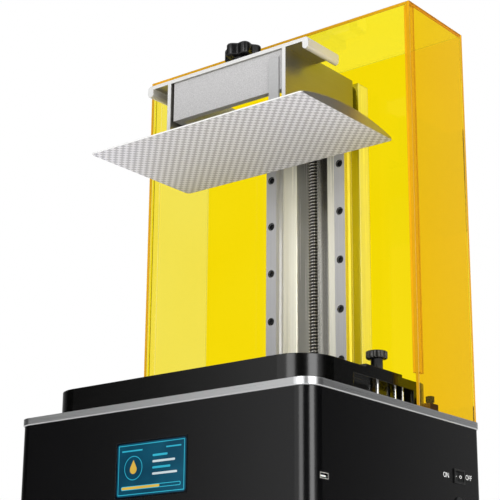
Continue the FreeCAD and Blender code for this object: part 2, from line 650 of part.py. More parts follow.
def vat_thumbscrew(side_name, side):
    spot = (f"{side} * thumb_x", "thumb_y")
    head_low = "thumb_low + thumb_neck_tall"
    head_top = f"{head_low} + thumb_head_tall"
    head = rod("z", "thumb_head", head_low, head_top, spot)
    knurls = []
    for i in range(KNURLS):
        angle = 2 * math.pi * i / KNURLS
        rim = (f"{spot[0]} + thumb_head * {math.cos(angle):.6f}",
               f"{spot[1]} + thumb_head * {math.sin(angle):.6f}")
        knurls.append(rod("z", "knurl_radius", f"{head_low} - {OVER}", f"{head_top} + {OVER}", rim))
    neck = rod("z", "thumb_neck", "thumb_low", head_low, spot)
    shaft = rod("z", "thumb_shaft", "base_height - thumb_thread", "thumb_low", spot)
    piece(f"vat_thumbscrew_{side_name}", joined(less(head, *knurls), neck, shaft))


def vat_locating_pins():
    pins = [rod("z", "locating_pin", "base_height", "base_height + recess_top",
                (f"{side} * thumb_x", f"thumb_y + locating_first + {i} * locating_pitch"))
            for side in (-1, 1) for i in range(2)]
    piece("vat_locating_pins", together(pins))


def hood_panels():
    upright = ("base_height", "hood_top")
    depth = ("hood_front", "hood_back - hood_thick")
    piece("hood_back", box(pm("hood_x"), (depth[1], "hood_back"), upright))
    for side_name, side in SIDES:
        piece(f"hood_{side_name}", box(span(side, "hood_inner_x", "hood_x"), depth, upright))
    piece("hood_top", box(pm("hood_inner_x"), depth, ("hood_top - hood_thick", "hood_top")))


def hood_stop_strips():
    front = "hood_front + strip_set"
    strips = [box(span(side, "hood_inner_x - strip_thick", "hood_inner_x"),
                  (front, f"{front} + strip_width"), ("base_height + strip_low", "hood_top - hood_thick"))
              for _, side in SIDES]
    piece("hood_stop_strips", together(strips))


def hood_brackets():
    blocks = [less(box(span(side, "hood_inner_x - bracket_width", "hood_inner_x"),
                       around("bracket_y", "bracket_length"), ("base_height", "bracket_top")),
                   rod("z", "hood_screw_shaft + pin_gap", "bracket_top - hood_screw_depth",
                       f"bracket_top + {OVER}", (f"{side} * bracket_x", "bracket_y")))
              for _, side in SIDES]
    piece("hood_brackets", together(blocks))


def hood_screw(side_name, side):
    spot = (f"{side} * bracket_x", "bracket_y")
    neck_top = "bracket_top + hood_neck_tall"
    piece(f"hood_screw_{side_name}", joined(
        rod("z", "hood_screw_shaft", "bracket_top - hood_screw_depth", "bracket_top", spot),
        rod("z", "hood_screw_neck", "bracket_top", neck_top, spot),
        rod("z", "hood_screw_head", neck_top, f"{neck_top} + hood_screw_tall", spot)))


def column_screw_spots():
    return [(f"{side} * {x}", "column_screw_y") for side in (-1, 1)
            for x in ("column_screw_near", "column_screw_far")]


def rail_bolt_spots(side):
    return [(f"{side} * rail_x", f"base_height + bolt_first + {i} * bolt_pitch") for i in range(RAIL_BOLTS)]


def z_column():
    back, deep = "column_front + column_flange", "column_front + channel_depth"
    half, rib = "channel_width / 2", "channel_width / 2 + channel_floor"
    right = [(half, deep), (half, "column_front"), ("column_x", "column_front"), ("column_x", back),
             (rib, back), (rib, f"{deep} + channel_floor")]
    left = [(f"-({x})", y) for x, y in reversed(right)]
    column = extrusion("XY", right + left, "base_height", "column_top")
    holes = [rod("z", "column_screw + thread_gap", f"base_height - {OVER}",
                 "base_height + column_screw_bite", spot)
             for spot in column_screw_spots()]
    for _, side in SIDES:
        holes += [rod("y", "bolt_shank + thread_gap", f"column_front - {OVER}",
                      "column_front + bolt_bite", spot)
                  for spot in rail_bolt_spots(side)]
    piece("z_column", less(column, *holes))


def column_screws():
    screws = [joined(rod("z", "column_screw_head", "plate_under - column_screw_tall", "plate_under", spot),
                     rod("z", "column_screw", "plate_under", "base_height + column_screw_bite", spot))
              for spot in column_screw_spots()]
    piece("column_screws", together(screws))


def rail(side_name, side):
    """Rail with a ball groove down each flank and counterbored bolt holes."""
    half = "rail_width / 2"
    flank = [(half, "rail_face"), (half, "rail_face + 0.2 * rail_height"),
             (f"{half} - rail_groove", "rail_face + 0.35 * rail_height"),
             (f"{half} - rail_groove", "rail_face + 0.6 * rail_height"),
             (half, "rail_face + 0.75 * rail_height"), (half, "column_front")]
    outline = [(f"{side} * rail_x + {x}", y) for x, y in flank]
    outline += [(f"{side} * rail_x - ({x})", y) for x, y in reversed(flank)]
    bar = extrusion("XY", outline, "base_height + rail_low", "column_top - rail_end")
    holes = []
    for spot in rail_bolt_spots(side):
        seat = "rail_face + bolt_sink + bolt_head_tall"
        holes.append(rod("y", "bolt_head + bore_gap", f"rail_face - {OVER}", seat, spot))
        holes.append(rod("y", "bolt_shank + thread_gap", "rail_face", f"column_front + {OVER}", spot))
    piece(f"rail_{side_name}", less(bar, *holes))


def rail_bolts():
    seat = "rail_face + bolt_sink + bolt_head_tall"
    bolts = [cap_screw(seat, "column_front + bolt_bite", spot)
             for _, side in SIDES for spot in rail_bolt_spots(side)]
    piece("rail_bolts", together(bolts))


def stepper_motor():
    low = "plate_under - motor_length"
    case = rounded(pm("motor_side / 2"), around("screw_y", "motor_side"), (low, "plate_under"),
                   "motor_corner")
    boss = rod("z", "motor_boss", "plate_under", "plate_under + boss_tall", (0, "screw_y"))
    bore = rod("z", "shaft_radius + pin_gap", "plate_under - shaft_depth",
               f"plate_under + boss_tall + {OVER}", (0, "screw_y"))
    piece("stepper_motor", less(joined(case, boss), bore))


COUPLER_LOW = "base_height + coupler_low"
COUPLER_MIDDLE = f"{COUPLER_LOW} + coupler_length / 2"
COUPLER_TOP = f"{COUPLER_LOW} + coupler_length"


def screw_drive():
    spot = (0, "screw_y")
    piece("motor_shaft", rod("z", "shaft_radius", "plate_under - shaft_depth", COUPLER_MIDDLE, spot))
    sleeve = rod("z", "coupler_radius", COUPLER_LOW, COUPLER_TOP, spot)
    bores = [rod("z", "shaft_radius + thread_gap", f"{COUPLER_LOW} - {OVER}", COUPLER_MIDDLE, spot),
             rod("z", "journal_radius + thread_gap", COUPLER_MIDDLE, f"{COUPLER_TOP} + {OVER}", spot)]
    piece("shaft_coupler", less(sleeve, *bores))
    piece("ball_screw", joined(
        rod("z", "journal_radius", COUPLER_MIDDLE, COUPLER_TOP, spot),
        rod("z", "screw_radius", COUPLER_TOP, "column_top - journal_clear", spot),
        rod("z", "journal_radius", "column_top - journal_clear", "column_top + bearing_tall", spot)))


def top_bearing():
    block = box(around(0, "bearing_width"), ("screw_y - bearing_reach", "column_front + channel_depth"),
                ("column_top", "column_top + bearing_tall"))
    bore = rod("z", "journal_radius + pin_gap", f"column_top - {OVER}",
               f"column_top + bearing_tall + {OVER}", (0, "screw_y"))
    piece("top_bearing", less(block, bore))


def screw_nut():
    spot = (0, "screw_y")
    flange_low = "nut_z - nut_flange_tall"
    nut = joined(rod("z", "nut_radius", "nut_z", "nut_z + nut_length", spot),
                 rod("z", "nut_flange", flange_low, "nut_z", spot))
    piece("screw_nut", less(nut, rod("z", "screw_radius + nut_gap", f"{flange_low} - {OVER}",
                                     f"nut_z + nut_length + {OVER}", spot)))


def nut_bracket():
    top = "nut_z + nut_block_tall"
    block = box(pm("nut_block_width / 2"), ("block_front", "screw_y + nut_radius + nut_block_wall"),
                ("nut_z", top))
    bore = rod("z", "nut_radius + thread_gap", f"nut_z - {OVER}", f"{top} + {OVER}", (0, "screw_y"))
    piece("nut_bracket", less(block, bore))


def carriage_screw_spots(side):
    return [(f"{side} * rail_x + {i} * carriage_screw_x",
             f"carriage_z + carriage_tall / 2 + {j} * carriage_screw_z")
            for i in (-1, 1) for j in (-1, 1)]


def rail_carriage(side_name, side):
    """Block that rides on a rail, open towards the column."""
    top = "block_low + block_length"
    block = box(around(f"{side} * rail_x", "block_width"), ("block_front", "block_front + block_depth"),
                ("block_low", top))
    track = box(around(f"{side} * rail_x", "rail_width + 2 * fit_gap"),
                ("rail_face - fit_gap", f"block_front + block_depth + {OVER}"),
                (f"block_low - {OVER}", f"{top} + {OVER}"))
    holes = [rod("y", "bolt_shank + thread_gap", f"block_front - {OVER}", "block_front + bolt_bite", spot)
             for spot in carriage_screw_spots(side)]
    piece(f"rail_carriage_{side_name}", less(block, track, *holes))


def arm_screw_spots():
    return [(f"{side} * arm_screw_x", f"arm_z + arm_screw_low + {j} * arm_screw_pitch")
            for side in (-1, 1) for j in (0, 1)]


def carriage_plate():
    """Plate behind the arm, with rounded upper corners."""
    depth = ("carriage_front", "block_front")
    low, shoulder = "carriage_z", "carriage_z + carriage_tall - carriage_corner"
    corner = "carriage_width / 2 - carriage_corner"
    forms = [box(pm("carriage_width / 2"), depth, (low, shoulder)),
             box(pm(corner), depth, (low, f"{shoulder} + carriage_corner"))]
    forms += [rod("y", "carriage_corner", *depth, (f"{side} * ({corner})", shoulder)) for _, side in SIDES]
    through = (f"carriage_front - {OVER}", f"block_front + {OVER}")
    holes = [rod("y", "bolt_shank + thread_gap", *through, spot) for spot in arm_screw_spots()]
    for _, side in SIDES:
        for spot in carriage_screw_spots(side):
            holes.append(rod("y", "carriage_screw_head", through[0], "carriage_front + bolt_head_tall",
                             spot))
            holes.append(rod("y", "bolt_shank + thread_gap", *through, spot))
    piece("carriage_plate", less(joined(*forms), *holes))


def carriage_screws():
    seat = "carriage_front + bolt_head_tall"
    screws = [cap_screw(seat, "block_front + bolt_bite", spot)
              for _, side in SIDES for spot in carriage_screw_spots(side)]
    piece("carriage_screws", together(screws))


ARM_BACK = "carriage_front - arm_wall"


def arm_block():
    """Hollow casting, open below and behind its short top."""
    block = box(pm("arm_x"), ("arm_front", "carriage_front"), ("arm_z", "web_z"))
    inner_x = pm("arm_x - arm_wall")
    hollow = box(inner_x, ("arm_front + arm_wall", ARM_BACK), (f"arm_z - {OVER}", "web_z - arm_wall"))
    window = box(inner_x, ("wing_back", ARM_BACK), ("web_z - arm_window_drop", f"web_z + {OVER}"))
    stud = rod("z", "knob_stud + pin_gap", "arm_z", f"web_z + {OVER}", (0, "knob_y"))
    holes = [rod("y", "bolt_shank + thread_gap", f"{ARM_BACK} - {OVER}", f"carriage_front + {OVER}", spot)
             for spot in arm_screw_spots()]
    piece("arm_block", less(block, hollow, window, stud, *holes))


def arm_screws():
    screws = [cap_screw(ARM_BACK, "block_front", spot) for spot in arm_screw_spots()]
    piece("arm_screws", together(screws))


def platform_hanger():
    """Extrusion with two walls, a top web and winged lips; the web is cut short behind."""
    foot = "platform_z + platform_slot"
    lip_x = "wing_span / 2 - lip_thick"
    reach = ("hanger_front", "wing_back")
    forms = [box(pm("wing_span / 2 - lip_thick / 2"), reach, ("web_z", "hanger_z"))]
    for _, side in SIDES:
        forms.append(box(span(side, "hanger_inner", "hanger_x"), ("hanger_front", "hanger_back"),
                         (foot, "hanger_z")))
        forms.append(box(span(side, lip_x, "wing_span / 2"), reach,
                         ("hanger_z - lip_drop + lip_thick / 2", "hanger_z - lip_thick / 2")))
        for height in ("hanger_z - lip_drop + lip_thick / 2", "hanger_z - lip_thick / 2"):
            forms.append(rod("y", "lip_thick / 2", *reach, (f"{side} * ({lip_x} + lip_thick / 2)", height)))
        lip_low = "platform_z + foot_lip_rise"
        forms.append(box(span(side, "hanger_inner - foot_lip", "hanger_inner"), reach,
                         (lip_low, f"{lip_low} + foot_lip_thick")))
    stud = rod("z", "knob_stud + pin_gap", f"web_z - {OVER}", f"hanger_z + {OVER}", (0, "knob_y"))
    piece("platform_hanger", less(joined(*forms), stud))


def platform_lock_bar():
    piece("platform_lock_bar", box(("bar_x", "bar_x + bar_width"), ("hanger_front", "arm_front"),
                                   ("platform_z + bar_low", "hanger_z - bar_top")))


def build_platform():
    """Plate with a flat underside and a crowned back, slotted for the hanger's walls."""
    depth = around("print_y", "platform_depth")
    slab = rounded(pm("platform_width / 2"), depth, ("platform_z", f"platform_top + {OVER}"),
                   "platform_corner")
    crown = rod("x", "platform_arc", "-platform_width", "platform_width",
                ("print_y", "platform_top - platform_arc"))
    slots = [box(span(side, "hanger_inner - fit_gap", "hanger_x + fit_gap"),
                 ("hanger_front - fit_gap", "hanger_back + fit_gap"),
                 ("platform_z + platform_slot", f"platform_top + {OVER}"))
             for _, side in SIDES]
    piece("build_platform", less(within(slab, crown), *slots))


def platform_knob():
    """Lobed clamping knob; its stud runs through the web into the arm."""
    spot = (0, "knob_y")
    head = ("hanger_z + knob_stem_tall", "hanger_z + knob_stem_tall + knob_tall")
    forms = [rod("z", "knob_stem", "hanger_z", head[0], spot), rod("z", "knob_core", *head, spot),
             taper("z", "cap_radius", "cap_top", head[1], f"{head[1]} + cap_tall", spot),
             rod("z", "knob_stud", "hanger_z - stud_length", "hanger_z", spot)]
    for i in range(KNOB_LOBES):
        angle = 2 * math.pi * i / KNOB_LOBES + math.radians(KNOB_TURN)
        forms.append(rod("z", "lobe_radius", *head,
                         (f"(knob_radius - lobe_radius) * {math.cos(angle):.6f}",
                          f"knob_y + (knob_radius - lobe_radius) * {math.sin(angle):.6f}")))
    piece("platform_knob", joined(*forms))


for make in (rubber_feet, bottom_pan, base_housing, steel_standoffs, top_plate, lcd_glass, lcd_panel,
             light_shroud, led_board, heat_sink, mainboard, touch_glass, touch_module, usb_socket,
             switch_housing, power_rocker, dc_inlet, vat_frame, vat_film, film_clamp_ring, film_screws,
             vat_locating_pins, hood_panels, hood_stop_strips, hood_brackets, z_column, column_screws,
             rail_bolts, stepper_motor, screw_drive, top_bearing, screw_nut, nut_bracket, carriage_plate,
             carriage_screws, arm_block, arm_screws, platform_hanger, platform_lock_bar, build_platform,
             platform_knob):
    make()
for make in (fan_frame, fan_rotor, vat_thumbscrew, hood_screw, rail, rail_carriage):
    for side_name, side in SIDES:
        make(side_name, side)
doc.recompute()

for thing in doc.Objects:
    if "Invalid" in thing.State or "Error" in thing.State:
        raise RuntimeError(f"{thing.Label} failed: {thing.State}")
for name, thing in pieces.items():
    if thing.Shape.isNull() or not thing.Shape.isValid() or not thing.Shape.Solids:
        raise RuntimeError(f"{name} has no valid solid")

os.makedirs("parts", exist_ok=True)
for name, thing in pieces.items():
    thing.Shape.exportStep(f"parts/{name}.step")
    print(f"{name}: {len(thing.Shape.Solids)} solid(s), {thing.Shape.Volume / 1000:.2f} cm3")
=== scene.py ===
from math import cos, pi, radians, sin, sqrt, tau

import bmesh
import bpy
from mathutils import Matrix, Vector


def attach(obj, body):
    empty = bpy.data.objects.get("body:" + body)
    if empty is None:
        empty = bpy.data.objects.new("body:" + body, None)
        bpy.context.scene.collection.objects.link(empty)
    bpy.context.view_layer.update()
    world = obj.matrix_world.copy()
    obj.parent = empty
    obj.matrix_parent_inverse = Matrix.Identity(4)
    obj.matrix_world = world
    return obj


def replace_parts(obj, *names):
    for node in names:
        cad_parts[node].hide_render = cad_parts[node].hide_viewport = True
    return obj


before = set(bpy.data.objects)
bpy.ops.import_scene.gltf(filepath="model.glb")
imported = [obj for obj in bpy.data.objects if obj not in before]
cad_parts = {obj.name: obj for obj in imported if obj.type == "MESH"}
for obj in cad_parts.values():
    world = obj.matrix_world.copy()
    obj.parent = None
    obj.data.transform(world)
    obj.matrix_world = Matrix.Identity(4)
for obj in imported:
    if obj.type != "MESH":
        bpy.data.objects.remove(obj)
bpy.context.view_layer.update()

# --- The studio -----------------------------------------------------------------------------------
# A white sweep, one tall softbox at the front and a wider one at the right, as a product is
# photographed. The camera stands below the table top and looks up at the printer.
MM = 0.001


def linear(code):
    """Linear RGBA of an sRGB hex value."""
    parts = [int(code[i:i + 2], 16) / 255 for i in (1, 3, 5)]
    return [c / 12.92 if c <= 0.04045 else ((c + 0.055) / 1.055) ** 2.4 for c in parts] + [1]


def add(tree, kind, sockets={}, stops=(), **settings):
    """Add one shader node: settings are its properties, sockets its inputs, as values, hex colours or links."""
    node = tree.nodes.new("ShaderNode" + kind)
    for key, value in settings.items():
        setattr(node, key, value)
    for number, (place, colour) in enumerate(stops):
        elements = node.color_ramp.elements
        stop = elements[number] if number < 2 else elements.new(place)
        stop.position, stop.color = place, linear(colour)
    for key, value in sockets.items():
        if isinstance(value, str):
            value = linear(value)
        if isinstance(value, bpy.types.Node):
            value = next(output for output in value.outputs if output.enabled)
        if isinstance(value, bpy.types.NodeSocket):
            tree.links.new(value, node.inputs[key])
        else:
            node.inputs[key].default_value = value
    return node


def blank(name):
    """A new material, its empty node tree, and the spot on the piece that its patterns follow."""
    material = bpy.data.materials.new(name)
    material.use_nodes = True
    material.node_tree.nodes.clear()
    return material, material.node_tree, add(material.node_tree, "TexCoord").outputs["Object"]


scene = bpy.context.scene
scene.view_settings.view_transform = "Standard"

# Where the camera stands, in metres, and how it is turned, in radians.
stand, yaw, pitch, roll = (0.994246, -1.250402, -0.159295), 0.671648, 0.298063, 0.007854
ahead = Vector((-sin(yaw) * cos(pitch), cos(yaw) * cos(pitch), sin(pitch)))
level = Vector((cos(yaw), sin(yaw), 0))
over = level.cross(ahead)
turn = Matrix((level * cos(roll) + over * sin(roll), over * cos(roll) - level * sin(roll), -ahead))
camera = bpy.data.objects.new("camera", bpy.data.cameras.new("camera"))
camera.matrix_world = Matrix.Translation(stand) @ turn.transposed().to_4x4()
camera.data.sensor_width, camera.data.lens = 36, 105.70
scene.collection.objects.link(camera)
scene.camera = camera

# Softboxes: (name, place, size across and up in metres, watts). They light and are mirrored, and
# neither the camera nor the clear cover looks at them.
for name, place, across, tall, watts in (
        ("softbox_front", (0.38, -2.2, 0.8), 0.92, 1.5, 14),
        ("softbox_right", (2.08, -0.82, 0.6), 0.95, 1.05, 16)):
    light = bpy.data.lights.new(name, "AREA")
    light.shape, light.size, light.size_y, light.energy = "RECTANGLE", across, tall, watts
    softbox = bpy.data.objects.new(name, light)
    aim = Vector((0, 0, 0.35)) - Vector(place)
    softbox.matrix_world = Matrix.Translation(place) @ aim.to_track_quat("-Z", "Y").to_matrix().to_4x4()
    softbox.visible_camera = softbox.visible_transmission = False
    scene.collection.objects.link(softbox)

# The white sweep is seen by the camera, through the cover and in gloss; in gloss, dark cloths hang
# between the softboxes, by compass angle round the table, and the light it sheds is a soft grey.
world = bpy.data.worlds.new("white_sweep")
world.use_nodes = True
scene.world, tree = world, world.node_tree
tree.nodes.clear()
way = add(tree, "SeparateXYZ", {0: add(tree, "TexCoord").outputs["Generated"]})
compass = add(tree, "Math", {0: way.outputs[0], 1: add(tree, "Math", {0: way.outputs[1], 1: -1},
                                                       operation="MULTIPLY")}, operation="ARCTAN2")
cloths = add(tree, "ValToRGB", {0: add(tree, "MapRange", {0: compass, 1: -pi, 2: pi})},
             stops=[((angle + 180) / 360, shade) for angle, shade in (
                 (-180, "#b8b8b8"), (-120, "#a0a0a0"), (-75, "#101010"), (-42, "#101010"), (-36, "#ffffff"),
                 (8, "#ffffff"), (20, "#101010"), (50, "#101010"), (60, "#f0f0f0"), (88, "#f0f0f0"),
                 (104, "#101010"), (146, "#101010"), (152, "#b0b0b0"), (180, "#b8b8b8"))])
overhead = add(tree, "MapRange", {0: way.outputs[2], 1: 0.5, 2: 0.9})
gloss = add(tree, "Mix", {0: overhead, 6: cloths, 7: "#ffffff"}, data_type="RGBA")
path = add(tree, "LightPath")
seen = add(tree, "Math", {0: path.outputs["Is Camera Ray"], 1: path.outputs["Is Transmission Ray"]},
           operation="MAXIMUM")
ambient = add(tree, "Mix", {0: path.outputs["Is Glossy Ray"], 6: "#a8a8aa", 7: gloss},
              data_type="RGBA")
sweep = add(tree, "Mix", {0: seen, 6: ambient, 7: "#ffffff"}, data_type="RGBA")
add(tree, "OutputWorld", {0: add(tree, "Background", {"Color": sweep, "Strength": 1})})

# The table top is a pale matt light table that runs up into the white sweep, and is clear from below,
# where the camera stands. It lights the printer's under-sides softly, and shows its shadow.
bm = bmesh.new()
bmesh.ops.create_circle(bm, cap_ends=True, radius=4, segments=64)
mesh = bpy.data.meshes.new("table_top")
bm.to_mesh(mesh)
bm.free()
table_top = bpy.data.objects.new("table_top", mesh)
scene.collection.objects.link(table_top)
matt_white, tree, spot = blank("matt_white_table")
cloud = add(tree, "TexNoise", {0: spot, "Scale": 1 / (400 * MM)})
shade = add(tree, "Mix", {0: cloud, 6: "#f0f0ef", 7: "#f6f6f5"}, data_type="RGBA")
sweep = add(tree, "MapRange", {0: add(tree, "VectorMath", {0: spot}, operation="LENGTH"), 1: 0.6, 2: 2.2})
shade = add(tree, "Mix", {0: sweep, 6: shade, 7: "#000000"}, data_type="RGBA")
upward = add(tree, "LightPath").outputs["Is Diffuse Ray"]
near = add(tree, "MapRange", {0: upward, 3: 0.3, 4: 1.5})
glow = add(tree, "Mix", {0: sweep, 2: near, 3: 1.0}, data_type="FLOAT")
top = add(tree, "BsdfPrincipled", {"Base Color": shade, "Roughness": 0.8, "Specular IOR Level": 0.1,
                                   "Emission Color": "#ffffff", "Emission Strength": glow})
below = add(tree, "NewGeometry").outputs["Backfacing"]
add(tree, "OutputMaterial", {0: add(tree, "MixShader", {0: below, 1: top, 2: add(tree, "BsdfTransparent")})})
mesh.materials.append(matt_white)


# --- Rubber feet ----------------------------------------------------------------------------------
# Four round bumpers moulded in black nitrile rubber, pushed into the pan from below. Tool marks
# from the mould leave the skin dull, and it gathers a little dust.
def dress(material, *nodes):
    """Put a material on the solids that carry over as they are."""
    for node in nodes:
        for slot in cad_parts[node].material_slots:
            slot.material = material


nitrile, tree, spot = blank("moulded_nitrile_rubber")
# The mould's texture is about 0.3 mm; drawn at 0.8 mm to show.
skin = add(tree, "TexNoise", {0: spot, "Scale": 1 / (0.8 * MM), "Detail": 4})
dust = add(tree, "TexNoise", {0: spot, "Scale": 1 / (6 * MM), "Detail": 3})
tone = add(tree, "Mix", {0: dust, 6: "#131313", 7: "#262524"}, data_type="RGBA")
bump = add(tree, "Bump", {"Height": skin, "Strength": 0.3, "Distance": 0.1 * MM})
add(tree, "OutputMaterial", {0: add(tree, "BsdfPrincipled", {
    "Base Color": tone, "Roughness": 0.82, "Specular IOR Level": 0.3, "Normal": bump})})
dress(nitrile, "rubber_feet")

# --- Base housing and pan -------------------------------------------------------------------------
# A wrap of 2.5 mm sheet steel with rounded corners, closed below by a flat pan. Both are powder
# coated satin black: an even, soft sheen with the faint orange peel of melted powder.
powder_coat, tree, spot = blank("satin_black_powder_coat")
# Orange peel is about 0.6 mm across; it is drawn at 1.5 mm, as finer would not show.
peel = add(tree, "TexNoise", {0: spot, "Scale": 1 / (1.5 * MM), "Detail": 2})
cloud = add(tree, "TexNoise", {0: spot, "Scale": 1 / (120 * MM), "Detail": 1})
tone = add(tree, "Mix", {0: cloud, 6: "#040405", 7: "#070708"}, data_type="RGBA")
sheen = add(tree, "MapRange", {0: peel, 1: 0.3, 2: 0.7, 3: 0.18, 4: 0.22})
edge = add(tree, "Bevel", {"Radius": 0.8 * MM}, samples=4)
bump = add(tree, "Bump", {"Height": peel, "Strength": 0.04, "Distance": 0.05 * MM, "Normal": edge})
add(tree, "OutputMaterial", {0: add(tree, "BsdfPrincipled", {
    "Base Color": tone, "Roughness": sheen, "Specular IOR Level": 0.45, "Normal": bump})})
dress(powder_coat, "base_housing", "bottom_pan")


# --- Steel screws ---------------------------------------------------------------------------------
# Screws in black oxide steel hold the film ring, the column, the carriage and the arm, and button
# heads hold each fan to the rear wall. The oxide is a thin, oily blue-black with a patchy sheen.
def at(x, y, z):
    """The place of a shape that is drawn in millimetres."""
    return Matrix.Translation((x * MM, y * MM, z * MM)) @ Matrix.Scale(MM, 4)


def turned(bm, profile, place, around=32, finish=0):
    """Lathe a profile of (radius, height) pairs about the place's z axis; a radius may follow the angle."""
    angles = [tau * i / around for i in range(around)]
    rings = []
    for radius, height in profile:
        if radius == 0:
            rings.append([bm.verts.new(place @ Vector((0, 0, height)))] * around)
            continue
        far = [radius(a) if callable(radius) else radius for a in angles]
        rings.append([bm.verts.new(place @ Vector((r * cos(a), r * sin(a), height))) for r, a in zip(far, angles)])
    for low, high in zip(rings, rings[1:]):
        for i in range(around):
            j = (i + 1) % around
            face = bm.faces.new(dict.fromkeys((low[i], low[j], high[j], high[i])))
            face.material_index = finish


def piece(name, bm, finishes, body, crease=35):
    """Make a piece of a bmesh, smooth up to the crease angle, and let it ride on its body."""
    bmesh.ops.recalc_face_normals(bm, faces=bm.faces)
    mesh = bpy.data.meshes.new(name)
    bm.to_mesh(mesh)
    bm.free()
    for finish in finishes:
        mesh.materials.append(finish)
    mesh.shade_smooth()
    mesh.set_sharp_from_angle(angle=radians(crease))
    made = bpy.data.objects.new(name, mesh)
    scene.collection.objects.link(made)
    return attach(made, body)


def hexagon(flats):
    """Radius of a hexagon socket by angle, from its width across flats."""
    return lambda a: flats / 2 / cos((a + pi / 6) % (pi / 3) - pi / 6)


black_oxide, tree, spot = blank("black_oxide_steel")
oil = add(tree, "TexNoise", {0: spot, "Scale": 1 / (3 * MM), "Detail": 3})
tone = add(tree, "Mix", {0: oil, 6: "#0b0b0c", 7: "#1c1c1e"}, data_type="RGBA")
sheen = add(tree, "MapRange", {0: oil, 1: 0.3, 2: 0.7, 3: 0.28, 4: 0.45})
edge = add(tree, "Bevel", {"Radius": 0.4 * MM}, samples=4)
add(tree, "OutputMaterial", {0: add(tree, "BsdfPrincipled", {
    "Base Color": tone, "Metallic": 0.4, "Roughness": sheen, "Normal": edge})})
dress(black_oxide, "film_screws", "column_screws", "carriage_screws", "arm_screws")

# The rear wall's face, the height of the fans' middle, and half the hole spacing of an 80 mm fan.
rear, fan_height, hole = 157, 68, 35.75
facing_back = Matrix.Rotation(-pi / 2, 4, "X")
button = [(0, -0.4), (hexagon(2), -0.4), (hexagon(2), 1.25), (1.6, 1.4), (2.5, 1.0), (3.1, 0.4), (3.2, -0.2)]
bm = bmesh.new()
for fan in (-95, 95):
    for across in (-hole, hole):
        for up in (-hole, hole):
            turned(bm, button, at(fan + across, rear, fan_height + up) @ facing_back, around=24)
piece("fan_mounting_screws", bm, [black_oxide], "base")

# --- Standoffs ------------------------------------------------------------------------------------
# Round spacers of mild steel, turned and then zinc plated with a clear passivate. The plating is
# bright with a faint blue bloom that shifts over each spacer.
zinc, tree, spot = blank("clear_zinc_plate")
bloom = add(tree, "TexNoise", {0: spot, "Scale": 1 / (5 * MM), "Detail": 3})
tone = add(tree, "Mix", {0: bloom, 6: "#b9bfc6", 7: "#cfcfc9"}, data_type="RGBA")
sheen = add(tree, "MapRange", {0: bloom, 1: 0.3, 2: 0.7, 3: 0.25, 4: 0.4})
add(tree, "OutputMaterial", {0: add(tree, "BsdfPrincipled", {
    "Base Color": tone, "Metallic": 1, "Roughness": sheen})})
dress(zinc, "steel_standoffs")

# --- Light engine ---------------------------------------------------------------------------------
# Hidden in the base: a finned heat sink extruded in bare aluminium, a white LED board on it, and a
# folded aluminium shroud that carries the light up to the screen.
bare_aluminium, tree, spot = blank("mill_finish_aluminium")
# Die lines run along the extrusion, about 0.3 mm apart; drawn at 0.8 mm to show.
lines = add(tree, "TexNoise", {0: add(tree, "Mapping", {0: spot, 3: (1 / (0.8 * MM), 1 / (60 * MM), 1 / (0.8 * MM))}),
                               "Scale": 1, "Detail": 2})
tone = add(tree, "Mix", {0: lines, 6: "#a9abad", 7: "#c6c8c9"}, data_type="RGBA")
sheen = add(tree, "MapRange", {0: lines, 1: 0.3, 2: 0.7, 3: 0.3, 4: 0.5})
bump = add(tree, "Bump", {"Height": lines, "Strength": 0.2, "Distance": 0.05 * MM})
add(tree, "OutputMaterial", {0: add(tree, "BsdfPrincipled", {
    "Base Color": tone, "Metallic": 1, "Roughness": sheen, "Normal": bump})})
dress(bare_aluminium, "heat_sink", "light_shroud")

# White solder mask, crossed every 20 mm by broad gold-plated tracks that feed the LEDs.
led_mask, tree, spot = blank("white_solder_mask_with_leds")
grid = add(tree, "TexBrick", {0: add(tree, "Mapping", {0: spot, 3: (1 / MM, 1 / MM, 0)}), 1: "#f4f4ef",
                              2: "#eeeee8", 3: "#e3b73a", "Scale": 1, "Mortar Size": 2.4,
                              "Brick Width": 20, "Row Height": 20}, offset=0)
mask = add(tree, "TexNoise", {0: spot, "Scale": 1 / (2 * MM)})
sheen = add(tree, "MapRange", {0: mask, 3: 0.35, 4: 0.5})
add(tree, "OutputMaterial", {0: add(tree, "BsdfPrincipled", {"Base Color": grid, "Roughness": sheen})})
dress(led_mask, "led_board")

# --- Mainboard ------------------------------------------------------------------------------------
# A four-layer glass-fibre board under green solder mask, on spacers against the left wall. Copper
# tracks show through the mask as a lighter green, with tinned pads between them.
solder_mask, tree, spot = blank("green_solder_mask")
# Tracks are about 0.3 mm wide; drawn as bands about 4 mm apart to show.
tracks = add(tree, "TexWave", {0: add(tree, "Mapping", {0: spot, 2: (0.6, 0, 0)}), "Scale": 1 / (14 * MM),
                               "Distortion": 3, "Detail": 1}, bands_direction="Z")
pads = add(tree, "TexVoronoi", {0: spot, "Scale": 1 / (5 * MM)})
lit = add(tree, "MapRange", {0: tracks, 1: 0.45, 2: 0.55})
tinned = add(tree, "MapRange", {0: pads, 1: 0.18, 2: 0.14})
board = add(tree, "Mix", {0: lit, 6: "#0f3d22", 7: "#1d6336"}, data_type="RGBA")
tone = add(tree, "Mix", {0: tinned, 6: board, 7: "#c9ccce"}, data_type="RGBA")
add(tree, "OutputMaterial", {0: add(tree, "BsdfPrincipled", {
    "Base Color": tone, "Metallic": tinned, "Roughness": 0.32, "Coat Weight": 0.3})})
dress(solder_mask, "mainboard", "usb_board")

